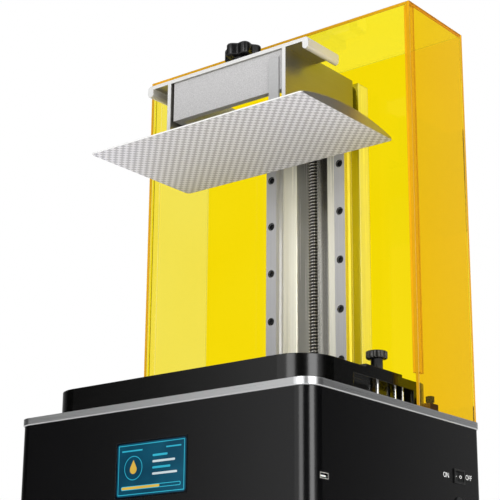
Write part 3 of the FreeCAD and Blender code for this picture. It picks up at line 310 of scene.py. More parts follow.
# --- Cooling fans ---------------------------------------------------------------------------------
# Two 80 mm axial fans behind the rear slots, frame and rotor injection moulded in black glass-filled
# polyester. The skin is smooth with a faint flow pattern of the fibres.
filled_polyester, tree, spot = blank("moulded_glass_filled_polyester")
flow = add(tree, "TexNoise", {0: spot, "Scale": 1 / (2.5 * MM), "Detail": 5, "Distortion": 1.5})
tone = add(tree, "Mix", {0: flow, 6: "#101011", 7: "#1f1f21"}, data_type="RGBA")
sheen = add(tree, "MapRange", {0: flow, 1: 0.3, 2: 0.7, 3: 0.4, 4: 0.55})
bump = add(tree, "Bump", {"Height": flow, "Strength": 0.1, "Distance": 0.05 * MM})
add(tree, "OutputMaterial", {0: add(tree, "BsdfPrincipled", {
    "Base Color": tone, "Roughness": sheen, "Normal": bump})})
dress(filled_polyester, "fan_frame_left", "fan_frame_right", "fan_rotor_left", "fan_rotor_right")


# --- Touch screen ---------------------------------------------------------------------------------
# A resistive colour screen clipped behind the front wall: a module in black ABS and a cover of
# smoked glass. The picture on it is a plain status page drawn for this part.
def plate(bm, outline, place, low, high, finish=0):
    """Extrude an outline of (across, up) points along the place's z axis, from low to high."""
    under = [bm.verts.new(place @ Vector((u, v, low))) for u, v in outline]
    upper = [bm.verts.new(place @ Vector((u, v, high))) for u, v in outline]
    faces = [bm.faces.new(under[::-1]), bm.faces.new(upper)]
    faces += [bm.faces.new((a, b, d, c)) for a, b, c, d in
              zip(under, under[1:] + under[:1], upper, upper[1:] + upper[:1])]
    for face in faces:
        face.material_index = finish
    return faces


def ring(bm, centre, thin, wide, sides, place, low, high, finish=0):
    """A flat ring round a centre, as a run of short plates."""
    for i in range(sides):
        a, b = tau * i / sides, tau * (i + 1) / sides
        plate(bm, [(centre[0] + r * cos(t), centre[1] + r * sin(t)) for r, t in
                   ((thin, a), (wide, a), (wide, b), (thin, b))], place, low, high, finish)


def bar(left, low, right, high, corner=0.0):
    """Outline of an upright rectangle with clipped corners."""
    if not corner:
        return [(left, low), (right, low), (right, high), (left, high)]
    return [(left + corner, low), (right - corner, low), (right, low + corner), (right, high - corner),
            (right - corner, high), (left + corner, high), (left, high - corner), (left, low + corner)]


# Smoked glass is near black and glossy, with faint smears left by fingers.
smoked_glass, tree, spot = blank("smoked_cover_glass")
smear = add(tree, "TexNoise", {0: spot, "Scale": 1 / (25 * MM), "Detail": 4})
tone = add(tree, "Mix", {0: smear, 6: "#060a10", 7: "#0a1018"}, data_type="RGBA")
sheen = add(tree, "MapRange", {0: smear, 1: 0.3, 2: 0.7, 3: 0.06, 4: 0.16})
add(tree, "OutputMaterial", {0: add(tree, "BsdfPrincipled", {
    "Base Color": tone, "Roughness": sheen, "IOR": 1.52, "Specular IOR Level": 0.3})})
dress(smoked_glass, "touch_glass")

# Backlit colours: (name, dim, bright). Pixels are 0.15 mm; the grid is drawn at 1 mm to show.
lit_colours = []
for name, dim, bright in (("backlit_navy", "#06283f", "#0c5a74"), ("backlit_cyan", "#1f9fc0", "#3fc7e0"),
                          ("backlit_amber", "#d9a93a", "#f0cf5a"), ("backlit_white", "#b9cfd8", "#e3edf0")):
    lit, tree, spot = blank(name)
    pixels = add(tree, "TexChecker", {0: add(tree, "Mapping", {0: spot, 3: (1, 0, 1)}), "Scale": 1 / (1 * MM)})
    glow = add(tree, "TexNoise", {0: spot, "Scale": 1 / (28 * MM)})
    mixed = add(tree, "Math", {0: pixels.outputs[1], 1: 0.25, 2: glow}, operation="MULTIPLY_ADD")
    tone = add(tree, "Mix", {0: mixed, 6: dim, 7: bright}, data_type="RGBA")
    add(tree, "OutputMaterial", {0: add(tree, "BsdfPrincipled", {
        "Base Color": "#05070a", "Roughness": 0.12, "Specular IOR Level": 0.3,
        "Emission Color": tone, "Emission Strength": 0.9})})
    lit_colours.append(lit)

navy, cyan, amber, white = range(4)
screen = at(0, -157, 64.2) @ Matrix.Rotation(pi / 2, 4, "X")
# Heights over the glass: the page, what is drawn on it, the bed of the time bar, and its filling.
page, drawn, laid, filled = (0.02, 0.05), (0.05, 0.08), (0.08, 0.1), (0.1, 0.12)
bm = bmesh.new()
plate(bm, bar(-46.4, -26.9, 46.4, 26.9, 2), screen, *page, navy)
for outline in (bar(-44.6, 24.6, 44.6, 25.4), bar(-44.6, -25.4, 44.6, -24.6),
                bar(-44.6, -25.4, -43.8, 25.4), bar(43.8, -25.4, 44.6, 25.4),
                bar(-40, 18.5, -12, 20), bar(20, 18.5, 40, 20)):
    plate(bm, outline, screen, *drawn, cyan)
# A drop in a ring stands for the resin, four steps for the layers, and a bar for the time left.
drop = [(-24 + 4.6 * cos(a), 0.2 + 4.6 * sin(a)) for a in
        (radians(150 + 240 * i / 16) for i in range(17))] + [(-24, 9.8)]
plate(bm, drop, screen, *drawn, amber)
ring(bm, (-24, 1.6), 11.6, 12.4, 24, screen, *drawn, cyan)
for i, length in enumerate((20, 30, 24, 33)):
    plate(bm, bar(2, 11.2 - 6.2 * i, 2 + length, 13.4 - 6.2 * i, 0.6), screen, *drawn, white if i % 2 else cyan)
plate(bm, bar(-40, -20.5, 40, -16.5, 1), screen, *drawn, cyan)
plate(bm, bar(-39.2, -19.8, 39.2, -17.2, 0.8), screen, *laid, navy)
plate(bm, bar(-39.2, -19.8, 12, -17.2, 0.8), screen, *filled, amber)
piece("screen_picture", bm, lit_colours, "base")

# --- Moulded sockets and switch -------------------------------------------------------------------
# Snap-in fittings of black ABS and nylon: the screen module, the switch body, its rocker and the
# power inlet. Spark-eroded moulds give them a fine even grain and rounded edges.
spark_abs, tree, spot = blank("spark_eroded_black_abs")
# The mould grain is about 0.1 mm; drawn at 0.7 mm to show.
grain = add(tree, "TexNoise", {0: spot, "Scale": 1 / (0.7 * MM), "Detail": 3})
tone = add(tree, "Mix", {0: grain, 6: "#0d0d0d", 7: "#1a1a1a"}, data_type="RGBA")
sheen = add(tree, "MapRange", {0: grain, 1: 0.3, 2: 0.7, 3: 0.3, 4: 0.42})
edge = add(tree, "Bevel", {"Radius": 0.5 * MM}, samples=4)
bump = add(tree, "Bump", {"Height": grain, "Strength": 0.15, "Distance": 0.05 * MM, "Normal": edge})
add(tree, "OutputMaterial", {0: add(tree, "BsdfPrincipled", {
    "Base Color": tone, "Roughness": sheen, "Normal": bump})})
dress(spark_abs, "touch_module", "switch_housing", "power_rocker", "dc_inlet")

# White pad-printing ink, thin and slightly uneven, for the switch's two words and its two marks.
ink, tree, spot = blank("white_pad_print_ink")
cover = add(tree, "TexNoise", {0: spot, "Scale": 1 / (1.5 * MM), "Detail": 3})
tone = add(tree, "Mix", {0: cover, 6: "#d6d6d4", 7: "#f0f0ee"}, data_type="RGBA")
add(tree, "OutputMaterial", {0: add(tree, "BsdfPrincipled", {"Base Color": tone, "Roughness": 0.55})})

facing_right = Matrix(((0, 0, 1, 0), (1, 0, 0, 0), (0, 1, 0, 0), (0, 0, 0, 1)))
printed_wall = 198.53
for word, along, up in (("ON", 84.0, 66.4), ("OFF", 130.4, 68.4)):
    text = bpy.data.curves.new("switch_word_" + word.lower(), "FONT")
    text.body, text.size, text.align_x, text.extrude = word, 7.6 * MM, "CENTER", 0.02 * MM
    text.materials.append(ink)
    words = bpy.data.objects.new(text.name, text)
    words.matrix_world = Matrix.Translation((printed_wall * MM, along * MM, up * MM)) @ facing_right
    scene.collection.objects.link(words)
    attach(words, "base")

# The marks lie on the two sloping halves of the rocker, which rests 8 degrees to its off side.
rocker = at(194.5, 110, 70) @ Matrix.Rotation(radians(-8), 4, "Z")
slope, inked = radians(7.5), (-0.02, 0.04)
near = rocker @ Matrix.Translation((3.53, -4, 0)) @ Matrix.Rotation(slope, 4, "Z") @ facing_right
far = rocker @ Matrix.Translation((3.53, 4, 0)) @ Matrix.Rotation(-slope, 4, "Z") @ facing_right
bm = bmesh.new()
plate(bm, bar(-1.5, -0.35, 1.5, 0.35), near, *inked)
ring(bm, (0, 0), 1.1, 1.7, 16, far, *inked)
piece("rocker_marks", bm, [ink], "rocker")

# --- USB socket -----------------------------------------------------------------------------------
# A folded shell of nickel-plated steel round a tongue of white PBT, soldered to a small board behind
# the right wall. The nickel is bright at its cut rim; inside the shell it is painted dark, as painted shade.
nickel, tree, spot = blank("nickel_plated_steel")
# Rolling lines in the strip are under 0.1 mm; drawn at 0.6 mm to show.
lines = add(tree, "TexNoise", {0: add(tree, "Mapping", {0: spot, 3: (1 / (12 * MM), 1 / (0.6 * MM), 1 / (0.6 * MM))}),
                               "Scale": 1})
# Painted shade: every face but the rim that faces out of the wall is painted dark, as the shade in the shell.
painted_shade_inside = add(tree, "Mix", {0: lines, 6: "#2c2a27", 7: "#3c3934"}, data_type="RGBA")
facing = add(tree, "SeparateXYZ", {0: add(tree, "TexCoord").outputs["Normal"]}).outputs[0]
rim = add(tree, "Math", {0: facing, 1: 0.7}, operation="GREATER_THAN")
tone = add(tree, "Mix", {0: rim, 6: painted_shade_inside, 7: "#cfccc5"}, data_type="RGBA")
shine = add(tree, "MapRange", {0: rim, 3: 1, 4: 0.2})
sheen = add(tree, "MapRange", {0: lines, 1: 0.3, 2: 0.7, 3: 0.16, 4: 0.3})
add(tree, "OutputMaterial", {0: add(tree, "BsdfPrincipled", {
    "Base Color": tone, "Metallic": shine, "Roughness": sheen})})
dress(nickel, "usb_shell")

# Moulded PBT is a soft, slightly milky white; its 0.2 mm mould texture is drawn at 0.6 mm to show.
white_pbt, tree, spot = blank("moulded_white_pbt")
skin = add(tree, "TexNoise", {0: spot, "Scale": 1 / (0.6 * MM), "Detail": 2})
tone = add(tree, "Mix", {0: skin, 6: "#e4e4e0", 7: "#f2f2ee"}, data_type="RGBA")
add(tree, "OutputMaterial", {0: add(tree, "BsdfPrincipled", {
    "Base Color": tone, "Roughness": 0.4, "Subsurface Weight": 0.1, "Subsurface Scale": 1 * MM})})
dress(white_pbt, "usb_tongue")

# --- Top plate ------------------------------------------------------------------------------------
# An 8 mm plate of aluminium, milled, its rim brushed along its length and clear anodised. Seen from
# the side it is the bright band between the base and the vat.
brushed_plate, tree, spot = blank("brushed_clear_anodised_aluminium")
# Brush lines are about 0.1 mm; drawn 0.7 mm wide and 80 mm long to show.
lines = add(tree, "TexNoise", {0: add(tree, "Mapping", {0: spot, 3: (1 / (80 * MM), 1 / (80 * MM), 1 / (0.7 * MM))}),
                               "Scale": 1, "Detail": 3})
tone = add(tree, "Mix", {0: lines, 6: "#dadbdc", 7: "#e4e5e5"}, data_type="RGBA")
sheen = add(tree, "MapRange", {0: lines, 1: 0.3, 2: 0.7, 3: 0.27, 4: 0.33})
edge = add(tree, "Bevel", {"Radius": 0.7 * MM}, samples=4)
bump = add(tree, "Bump", {"Height": lines, "Strength": 0.02, "Distance": 0.03 * MM, "Normal": edge})
add(tree, "OutputMaterial", {0: add(tree, "BsdfPrincipled", {
    "Base Color": tone, "Metallic": 1, "Roughness": sheen, "Normal": bump})})
dress(brushed_plate, "top_plate")

# --- Masking screen -------------------------------------------------------------------------------
# The monochrome LCD that shapes each layer and the tempered sheet bonded over it. Switched off it is
# a deep blue-black mirror with a faint pixel moire.
lcd_black, tree, spot = blank("tempered_glass_over_lcd")
# Pixels are 0.046 mm; a 1.5 mm moire is drawn in their place.
moire = add(tree, "TexChecker", {0: add(tree, "Mapping", {0: spot, 3: (1, 1, 0)}), 1: "#05070a",
                                 2: "#080b10", "Scale": 1 / (1.5 * MM)})
haze = add(tree, "TexNoise", {0: spot, "Scale": 1 / (60 * MM), "Detail": 4})
sheen = add(tree, "MapRange", {0: haze, 1: 0.3, 2: 0.7, 3: 0.05, 4: 0.14})
add(tree, "OutputMaterial", {0: add(tree, "BsdfPrincipled", {
    "Base Color": moire, "Roughness": sheen, "IOR": 1.52})})
dress(lcd_black, "lcd_glass", "lcd_panel")

# --- Vat ------------------------------------------------------------------------------------------
# A deep frame milled from one aluminium billet and hard anodised black; a ring screwed on from below
# stretches the film across it. The anodising is a dense satin with soft bright edges.
hard_anodise, tree, spot = blank("black_hard_anodised_aluminium")
# Cutter marks are under 0.2 mm apart; drawn at 1 mm to show.
marks = add(tree, "TexNoise", {0: add(tree, "Mapping", {0: spot, 3: (1 / (25 * MM), 1 / (25 * MM), 1 / (1 * MM))}),
                               "Scale": 1, "Detail": 2})
bloom = add(tree, "TexNoise", {0: spot, "Scale": 1 / (70 * MM), "Detail": 2})
tone = add(tree, "Mix", {0: bloom, 6: "#040404", 7: "#080807"}, data_type="RGBA")
sheen = add(tree, "MapRange", {0: marks, 1: 0.3, 2: 0.7, 3: 0.16, 4: 0.2})
edge = add(tree, "Bevel", {"Radius": 1.0 * MM}, samples=6)
bump = add(tree, "Bump", {"Height": marks, "Strength": 0.06, "Distance": 0.03 * MM, "Normal": edge})
add(tree, "OutputMaterial", {0: add(tree, "BsdfPrincipled", {
    "Base Color": tone, "Roughness": sheen, "Specular IOR Level": 0.5, "Normal": bump})})
dress(hard_anodise, "vat_frame", "film_clamp_ring")

# The release film is thin clear fluoropolymer, stretched tight, slippery and very slightly milky.
fluoropolymer, tree, spot = blank("stretched_fluoropolymer_film")
ripple = add(tree, "TexNoise", {0: spot, "Scale": 1 / (45 * MM), "Detail": 2})
sheen = add(tree, "MapRange", {0: ripple, 1: 0.3, 2: 0.7, 3: 0.06, 4: 0.18})
bump = add(tree, "Bump", {"Height": ripple, "Strength": 0.05, "Distance": 0.5 * MM})
add(tree, "OutputMaterial", {0: add(tree, "BsdfPrincipled", {
    "Base Color": "#eef2f4", "Transmission Weight": 1, "IOR": 1.34, "Roughness": sheen, "Normal": bump})})
dress(fluoropolymer, "vat_film")

# --- Vat thumbscrews and pins ---------------------------------------------------------------------
# Two knurled thumbscrews of black anodised aluminium on steel studs clamp the vat to the plate, and
# two pairs of ground steel pins set its place. The knurl catches a row of fine glints.
ground_steel, tree, spot = blank("ground_bright_steel")
# The wheel leaves bright rings under 0.1 mm apart; drawn at 0.6 mm to show.
lines = add(tree, "TexNoise", {0: add(tree, "Mapping", {0: spot, 3: (1 / (10 * MM), 1 / (10 * MM), 1 / (0.6 * MM))}),
                               "Scale": 1})
tone = add(tree, "Mix", {0: lines, 6: "#b5b5b5", 7: "#d6d6d4"}, data_type="RGBA")
sheen = add(tree, "MapRange", {0: lines, 1: 0.3, 2: 0.7, 3: 0.18, 4: 0.32})
add(tree, "OutputMaterial", {0: add(tree, "BsdfPrincipled", {
    "Base Color": tone, "Metallic": 1, "Roughness": sheen})})
dress(ground_steel, "vat_locating_pins", "motor_shaft")

# Glossy anodising, worn a little paler along the crests of the knurl.
bright_anodise, tree, spot = blank("glossy_black_anodised_aluminium")
crest_mask = add(tree, "MapRange", {0: add(tree, "NewGeometry").outputs["Pointiness"], 1: 0.5, 2: 0.56})
tone = add(tree, "Mix", {0: crest_mask, 6: "#0a0a0a", 7: "#35342f"}, data_type="RGBA")
haze = add(tree, "TexNoise", {0: spot, "Scale": 1 / (2 * MM), "Detail": 2})
sheen = add(tree, "MapRange", {0: haze, 1: 0.3, 2: 0.7, 3: 0.16, 4: 0.28})
add(tree, "OutputMaterial", {0: add(tree, "BsdfPrincipled", {
    "Base Color": tone, "Metallic": 0.25, "Roughness": sheen})})


def knurl(radius, teeth, depth):
    """Radius by angle of a straight-knurled rim."""
    return lambda a: radius - depth * (0.5 - 0.5 * cos(teeth * a)) ** 2


rim, inner = knurl(11.5, 16, 1.6), knurl(10.6, 16, 0.8)
thumbscrew = [(0, 188.3), (7.2, 188.3), (7.8, 188.8), (10.0, 188.8), (inner, 188.8), (rim, 187.9), (rim, 182.0),
              (inner, 181.0), (8.6, 181.0), (6.9, 180.4), (6.4, 179.4), (6.4, 169.8), (5.9, 169.02), (2.0, 169.02)]
stud = [(2.0, 169.02), (2.0, 128.6), (1.5, 128), (0, 128)]
for name, across in (("left", -171), ("right", 171)):
    bm = bmesh.new()
    turned(bm, thumbscrew, at(across, -2, 0), around=192)
    turned(bm, stud, at(across, -2, 0), around=192, finish=1)
    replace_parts(piece("vat_thumbscrew_knurled_" + name, bm, [bright_anodise, ground_steel], "vat_screw_" + name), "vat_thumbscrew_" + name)

# --- Cover ----------------------------------------------------------------------------------------
# Four 4 mm sheets of cast acrylic, dyed amber to stop stray ultraviolet, laser cut and cemented. Clear
# and glossy through the sheet; the cut edges are a deeper orange, with a faint painted glow.
# The sheets share one dye, but each has its own copy, deeper or paler as painted light: the left and top
# sheets are painted paler, a painted reflection of the white sweep. (name, deep dye, pale dye).
dyed = []
for name, deep, pale in (("cast_amber_acrylic", "#f5d800", "#f7de10"),
                         ("cast_amber_acrylic_left", "#f2e04a", "#f5e65c"),
                         ("cast_amber_acrylic_top", "#fdec28", "#feee38"),
                         ("cast_amber_acrylic_right", "#fadc00", "#fbe10c"),
                         ("cast_pale_acrylic_offcut", "#fffbd8", "#fffce2")):
    acrylic, tree, spot = blank(name)
    # Sheet thickness wanders by a few hundredths over about 150 mm, which bends reflections a little.
    wander = add(tree, "TexNoise", {0: spot, "Scale": 1 / (150 * MM), "Detail": 1})
    dye = add(tree, "Mix", {0: wander, 6: deep, 7: pale}, data_type="RGBA")
    bump = add(tree, "Bump", {"Height": wander, "Strength": 0.1, "Distance": 0.2 * MM})
    sheet = add(tree, "BsdfPrincipled", {
        "Base Color": dye, "Transmission Weight": 1, "IOR": 1.49, "Roughness": 0.02,
        "Specular IOR Level": 0.03, "Specular Tint": "#b07c10", "Normal": bump})
    # Lamps shine through the sheet as well, and take its colour.
    add(tree, "OutputMaterial", {0: add(tree, "MixShader", {
        0: add(tree, "LightPath").outputs["Is Shadow Ray"], 1: sheet,
        2: add(tree, "BsdfTransparent", {0: "#fdf9b0"})})})
    dyed.append(acrylic)

cut_acrylic, tree, spot = blank("laser_cut_acrylic_edge")
# The laser leaves fine ripples across the edge, about 0.3 mm apart; drawn at 2 mm to show.
ripple = add(tree, "TexNoise", {0: spot, "Scale": 1 / (2 * MM), "Detail": 1})
tone = add(tree, "Mix", {0: ripple, 6: "#dca010", 7: "#e6ae1c"}, data_type="RGBA")
# Painted glow: the cut edge emits a little of its own orange, though it is no lamp.
add(tree, "OutputMaterial", {0: add(tree, "BsdfPrincipled", {
    "Base Color": tone, "Transmission Weight": 0.35, "IOR": 1.49, "Roughness": 0.3,
    "Specular IOR Level": 0.1, "Specular Tint": "#b07c10",
    "Emission Color": tone, "Emission Strength": 0.25})})

# The scraped arris is dull, and reads as a thin brown line along each edge, with a faint painted glow.
eased_acrylic, tree, spot = blank("scraped_acrylic_arris")
scrape = add(tree, "TexNoise", {0: spot, "Scale": 1 / (3 * MM), "Detail": 2})
tone = add(tree, "Mix", {0: scrape, 6: "#a9780a", 7: "#bd8a12"}, data_type="RGBA")
add(tree, "OutputMaterial", {0: add(tree, "BsdfPrincipled", {
    "Base Color": tone, "Transmission Weight": 0.2, "IOR": 1.49, "Roughness": 0.4,
    "Emission Color": tone, "Emission Strength": 0.2})})

# Each sheet runs between two corners, and its thin way is x, y or z. A hair of air is left where sheets
# meet, as the cement never wets the whole joint; an edge joined to the back sheet stays clear. The left
# stop strip is a nearly clear offcut, the right one is cut from the amber sheet.
behind, left, above, right, offcut, cut, scraped = range(7)
bm = bmesh.new()
for low, high, thin, broad, edge, arris in (
        ((-195.5, 153, 134), (195.5, 157, 602), 1, behind, cut, scraped),
        ((-191.45, 40.5, 598), (191.45, 152.95, 602), 2, above, cut, scraped),
        ((-195.5, 40.5, 134), (-191.5, 152.95, 602), 0, left, cut, scraped),
        ((191.5, 40.5, 134), (195.5, 152.95, 602), 0, right, cut, scraped),
        ((-191.45, 41.5, 172), (-187.5, 53, 597.95), 0, offcut, offcut, offcut),
        ((187.5, 41.5, 172), (191.45, 53, 597.95), 0, behind, cut, scraped)):
    before = set(bm.faces)
    corners = bmesh.ops.create_cube(bm, size=1)["verts"]
    for corner in corners:
        corner.co = [l * MM if c < 0 else h * MM for c, l, h in zip(corner.co, low, high)]
    sharp = list(dict.fromkeys(line for corner in corners for line in corner.link_edges))
    bmesh.ops.bevel(bm, geom=sharp, offset=0.4 * MM, segments=1, affect="EDGES")
    for face in set(bm.faces) - before:
        face.normal_update()
        joined = 152 * MM < face.calc_center_median().y < 153 * MM
        if abs(face.normal[thin]) > 0.9 or joined:
            face.material_index = broad
        else:
            face.material_index = edge if max(map(abs, face.normal)) > 0.9 else arris
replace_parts(piece("amber_cover", bm, dyed + [cut_acrylic, eased_acrylic], "base"),
            "hood_back", "hood_left", "hood_right", "hood_top", "hood_stop_strips")

# Two corner blocks of the same acrylic, too thick to see through, take the cover's screws.
block_acrylic, tree, spot = blank("thick_brown_acrylic_block")
depth = add(tree, "TexNoise", {0: spot, "Scale": 1 / (6 * MM), "Detail": 2})
tone = add(tree, "Mix", {0: depth, 6: "#5c3f08", 7: "#7d590e"}, data_type="RGBA")
add(tree, "OutputMaterial", {0: add(tree, "BsdfPrincipled", {
    "Base Color": tone, "Transmission Weight": 0.2, "IOR": 1.49, "Roughness": 0.4,
    "Specular IOR Level": 0.15})})
dress(block_acrylic, "hood_brackets")

# The cover's screws have ribbed heads moulded in dull black nylon on steel shanks.
dull_nylon, tree, spot = blank("glass_filled_black_nylon")
# Glass fibres lie at the skin in flecks of about 0.3 mm; drawn at 0.8 mm to show.
flecks = add(tree, "TexNoise", {0: spot, "Scale": 1 / (0.8 * MM), "Detail": 2})
tone = add(tree, "Mix", {0: flecks, 6: "#040404", 7: "#0a0a0a"}, data_type="RGBA")
add(tree, "OutputMaterial", {0: add(tree, "BsdfPrincipled", {
    "Base Color": tone, "Roughness": 0.55, "Specular IOR Level": 0.12})})
ribs = knurl(4.6, 10, 0.8)
head = [(0, 151.1), (2.6, 151.1), (3.2, 151.5), (ribs, 151.0), (ribs, 145.0), (3.2, 144.5), (3.0, 143.02),
        (1.5, 143.02)]
shank = [(1.5, 143.02), (1.5, 137.4), (1.1, 137), (0, 137)]
for name, across in (("left", -186.5), ("right", 186.5)):
    bm = bmesh.new()
    turned(bm, head, at(across, 72, 0), around=80)
    turned(bm, shank, at(across, 72, 0), around=80, finish=1)
    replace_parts(piece("cover_screw_ribbed_" + name, bm, [dull_nylon, ground_steel], "cover_screw_" + name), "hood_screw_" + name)

# --- Column ---------------------------------------------------------------------------------------
# The upright is an aluminium extrusion, blasted lightly and clear anodised, bolted up through the
# plate. Soft vertical die lines run its whole height. Its outer flanges are painted amber and its sides
# pale lemon: a painted reflection of the amber cover, and painted light that comes through it.
anodised_extrusion, tree, spot = blank("clear_anodised_extrusion")
# Die lines are about 0.2 mm apart; drawn at 1.2 mm to show.
lines = add(tree, "TexNoise", {0: add(tree, "Mapping", {0: spot, 3: (1 / (1.2 * MM), 1 / (1.2 * MM), 1 / (200 * MM))}),
                               "Scale": 1, "Detail": 2})
# Zones by distance from the middle: a dark line down the middle that is painted shade, the bright channel,
# blasted faces, flanges painted amber as a painted reflection, and sides painted pale lemon as painted light.
outward = add(tree, "Math", {0: add(tree, "SeparateXYZ", {0: spot}).outputs[0]}, operation="ABSOLUTE")
zones_with_painted_light = add(tree, "ValToRGB", {0: add(tree, "MapRange", {0: outward, 1: 0, 2: 70 * MM})},
            stops=[(across / 70, shade) for across, shade in (
                (3, "#8a8881"), (7, "#efeee9"), (22.9, "#efeee9"), (23.2, "#fffcea"), (58, "#fffcea"),
                (59, "#bdb014"), (69.9, "#bdb014"), (70, "#ffffc8"))])
streak = add(tree, "MapRange", {0: lines, 1: 0.3, 2: 0.7, 3: 0.86, 4: 1.0})
tone = add(tree, "Mix", {0: 1.0, 6: zones_with_painted_light, 7: streak}, data_type="RGBA", blend_type="MULTIPLY")
shine = add(tree, "MapRange", {0: outward, 1: 22.9 * MM, 2: 23.2 * MM, 3: 0.85, 4: 0.35})
sheen = add(tree, "MapRange", {0: lines, 1: 0.3, 2: 0.7, 3: 0.2, 4: 0.28})
edge = add(tree, "Bevel", {"Radius": 3 * MM}, samples=8)
bump = add(tree, "Bump", {"Height": lines, "Strength": 0.05, "Distance": 0.05 * MM, "Normal": edge})
add(tree, "OutputMaterial", {0: add(tree, "BsdfPrincipled", {
    "Base Color": tone, "Metallic": shine, "Roughness": sheen, "Normal": bump})})
dress(anodised_extrusion, "z_column")
# The bearing block on top and the coupler at the foot of the screw are left bare.
dress(bare_aluminium, "top_bearing", "shaft_coupler")

# --- Linear rails ---------------------------------------------------------------------------------
# Two 15 mm profile rails of hardened steel, ground along their length and bolted every 60 mm with
# black socket screws in counterbores. The ground face is an even satin grey.
rail_steel, tree, spot = blank("ground_hardened_steel")
# Grinding lines are a few hundredths wide; drawn at 0.7 mm to show.
lines = add(tree, "TexNoise", {0: add(tree, "Mapping", {0: spot, 3: (1 / (0.7 * MM), 1 / (0.7 * MM), 1 / (90 * MM))}),
                               "Scale": 1, "Detail": 2})
tone = add(tree, "Mix", {0: lines, 6: "#aeaeb1", 7: "#c0c0c3"}, data_type="RGBA")
# Painted reflection: the outer flanks that face the amber cover are painted in its colour.
outward = add(tree, "Math", {0: add(tree, "SeparateXYZ", {0: spot}).outputs[0]}, operation="ABSOLUTE")
across = add(tree, "SeparateXYZ", {0: add(tree, "TexCoord").outputs["Normal"]}).outputs[0]
sideways = add(tree, "Math", {0: add(tree, "Math", {0: across}, operation="ABSOLUTE"), 1: 0.5},
               operation="GREATER_THAN")
outer = add(tree, "Math", {0: outward, 1: 55.6 * MM}, operation="GREATER_THAN")
amber_reflection_mask = add(tree, "Math", {0: sideways, 1: outer}, operation="MULTIPLY")
tone = add(tree, "Mix", {0: amber_reflection_mask, 6: tone, 7: "#ede159"}, data_type="RGBA")
sheen = add(tree, "MapRange", {0: lines, 1: 0.3, 2: 0.7, 3: 0.3, 4: 0.4})
edge = add(tree, "Bevel", {"Radius": 0.4 * MM}, samples=4)
add(tree, "OutputMaterial", {0: add(tree, "BsdfPrincipled", {
    "Base Color": tone, "Metallic": 0.35, "Roughness": sheen, "Normal": edge})})
dress(rail_steel, "rail_left", "rail_right")

# Cap screws with a rounded crown and a broached hexagon, sunk in counterbores. A thin black ring round
# each, on the rail's face, is painted shade at the mouth of the counterbore.
cap = [(0, 131), (2, 131), (2, 111), (3.4, 111), (3.5, 110.8), (3.5, 107.6), (3.2, 107.1), (2.5, 106.9),
       (hexagon(3.2), 106.9), (hexagon(3.0), 108.6), (0, 109.2)]
counterbore_shade_ring = [(4.35, 107.2), (4.35, 105.97), (4.75, 105.94), (4.8, 106.05)]
lowest, pitch = 156.6, 60
bm = bmesh.new()
for rail in (-51, 51):
    for number in range(7):
        seat = at(rail, 0, lowest + pitch * number) @ facing_back
        turned(bm, cap, seat, around=24)
        turned(bm, counterbore_shade_ring, seat, around=24)
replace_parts(piece("rail_cap_screws", bm, [black_oxide], "base"), "rail_bolts")

# --- Motor ----------------------------------------------------------------------------------------
# A stepper motor hung under the plate, mostly a stack of punched silicon-steel laminations. The
# edges of the sheets show as fine level lines.
laminations, tree, spot = blank("stacked_silicon_steel")
# The sheets are 0.5 mm thick; drawn at about 2 mm to show.
sheets = add(tree, "TexWave", {0: spot, "Scale": 1 / (6 * MM), "Distortion": 0.3}, bands_direction="Z")
tone = add(tree, "Mix", {0: sheets, 6: "#4c4d50", 7: "#8d8e90"}, data_type="RGBA")
bump = add(tree, "Bump", {"Height": sheets, "Strength": 0.3, "Distance": 0.1 * MM})
add(tree, "OutputMaterial", {0: add(tree, "BsdfPrincipled", {
    "Base Color": tone, "Metallic": 0.8, "Roughness": 0.45, "Normal": bump})})
dress(laminations, "stepper_motor")

# --- Ball screw -----------------------------------------------------------------------------------
# A rolled ball screw, 12 mm across with a 4 mm lead, its journals turned down to 8 mm. The round
# track is painted bright along its crest as a painted highlight, and near black in its root as painted
# shade, where dark oil also lies.
oiled_steel, tree, spot = blank("rolled_oiled_steel")
oil = add(tree, "TexNoise", {0: spot, "Scale": 1 / (4 * MM), "Detail": 3})
crest_mask = add(tree, "MapRange", {0: add(tree, "NewGeometry").outputs["Pointiness"], 1: 0.48, 2: 0.57})
# Painted highlight on the crest of the track and painted shade in its root.
tone = add(tree, "Mix", {0: crest_mask, 6: "#0b0a09", 7: "#c9c6c0"}, data_type="RGBA")
sheen = add(tree, "MapRange", {0: oil, 1: 0.3, 2: 0.7, 3: 0.12, 4: 0.22})
add(tree, "OutputMaterial", {0: add(tree, "BsdfPrincipled", {
    "Base Color": tone, "Metallic": 1, "Roughness": sheen})})

# The track runs from foot to end, cut by a ball whose middle stands a little proud of the crest.
lead, ball, crest, proud = 4.0, 1.5, 6.0, 0.55
foot, end = 163, 554


def track(height):
    """Radius by angle of the screw at a height: a round track, one turn to each lead."""
    def radius(a):
        off = abs((height / lead - a / tau) % 1 - 0.5) * lead
        return crest - max(0, sqrt(max(0, ball * ball - off * off)) - proud)
    return radius


rows = 8 * int((end - foot) / lead)
screw = [(0, 150.5), (3.5, 150.5), (4, 151), (4, foot)]
screw += [(track(z), z) for z in (foot + (end - foot) * i / rows for i in range(rows + 1))]
screw += [(4, end), (4, 570.5), (3.5, 571), (0, 571)]
bm = bmesh.new()
turned(bm, screw, at(0, 123.5, 0), around=28)
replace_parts(piece("ball_screw_threaded", bm, [oiled_steel], "drive_screw", 60), "ball_screw")

# --- Carriage -------------------------------------------------------------------------------------
# Two recirculating rail carriages and a flanged nut, tied together by a bracket and a thick black
# anodised plate. The carriage blocks are ground steel; the plate and bracket are milled.
dress(hard_anodise, "carriage_plate", "nut_bracket")
dress(rail_steel, "rail_carriage_left", "rail_carriage_right")

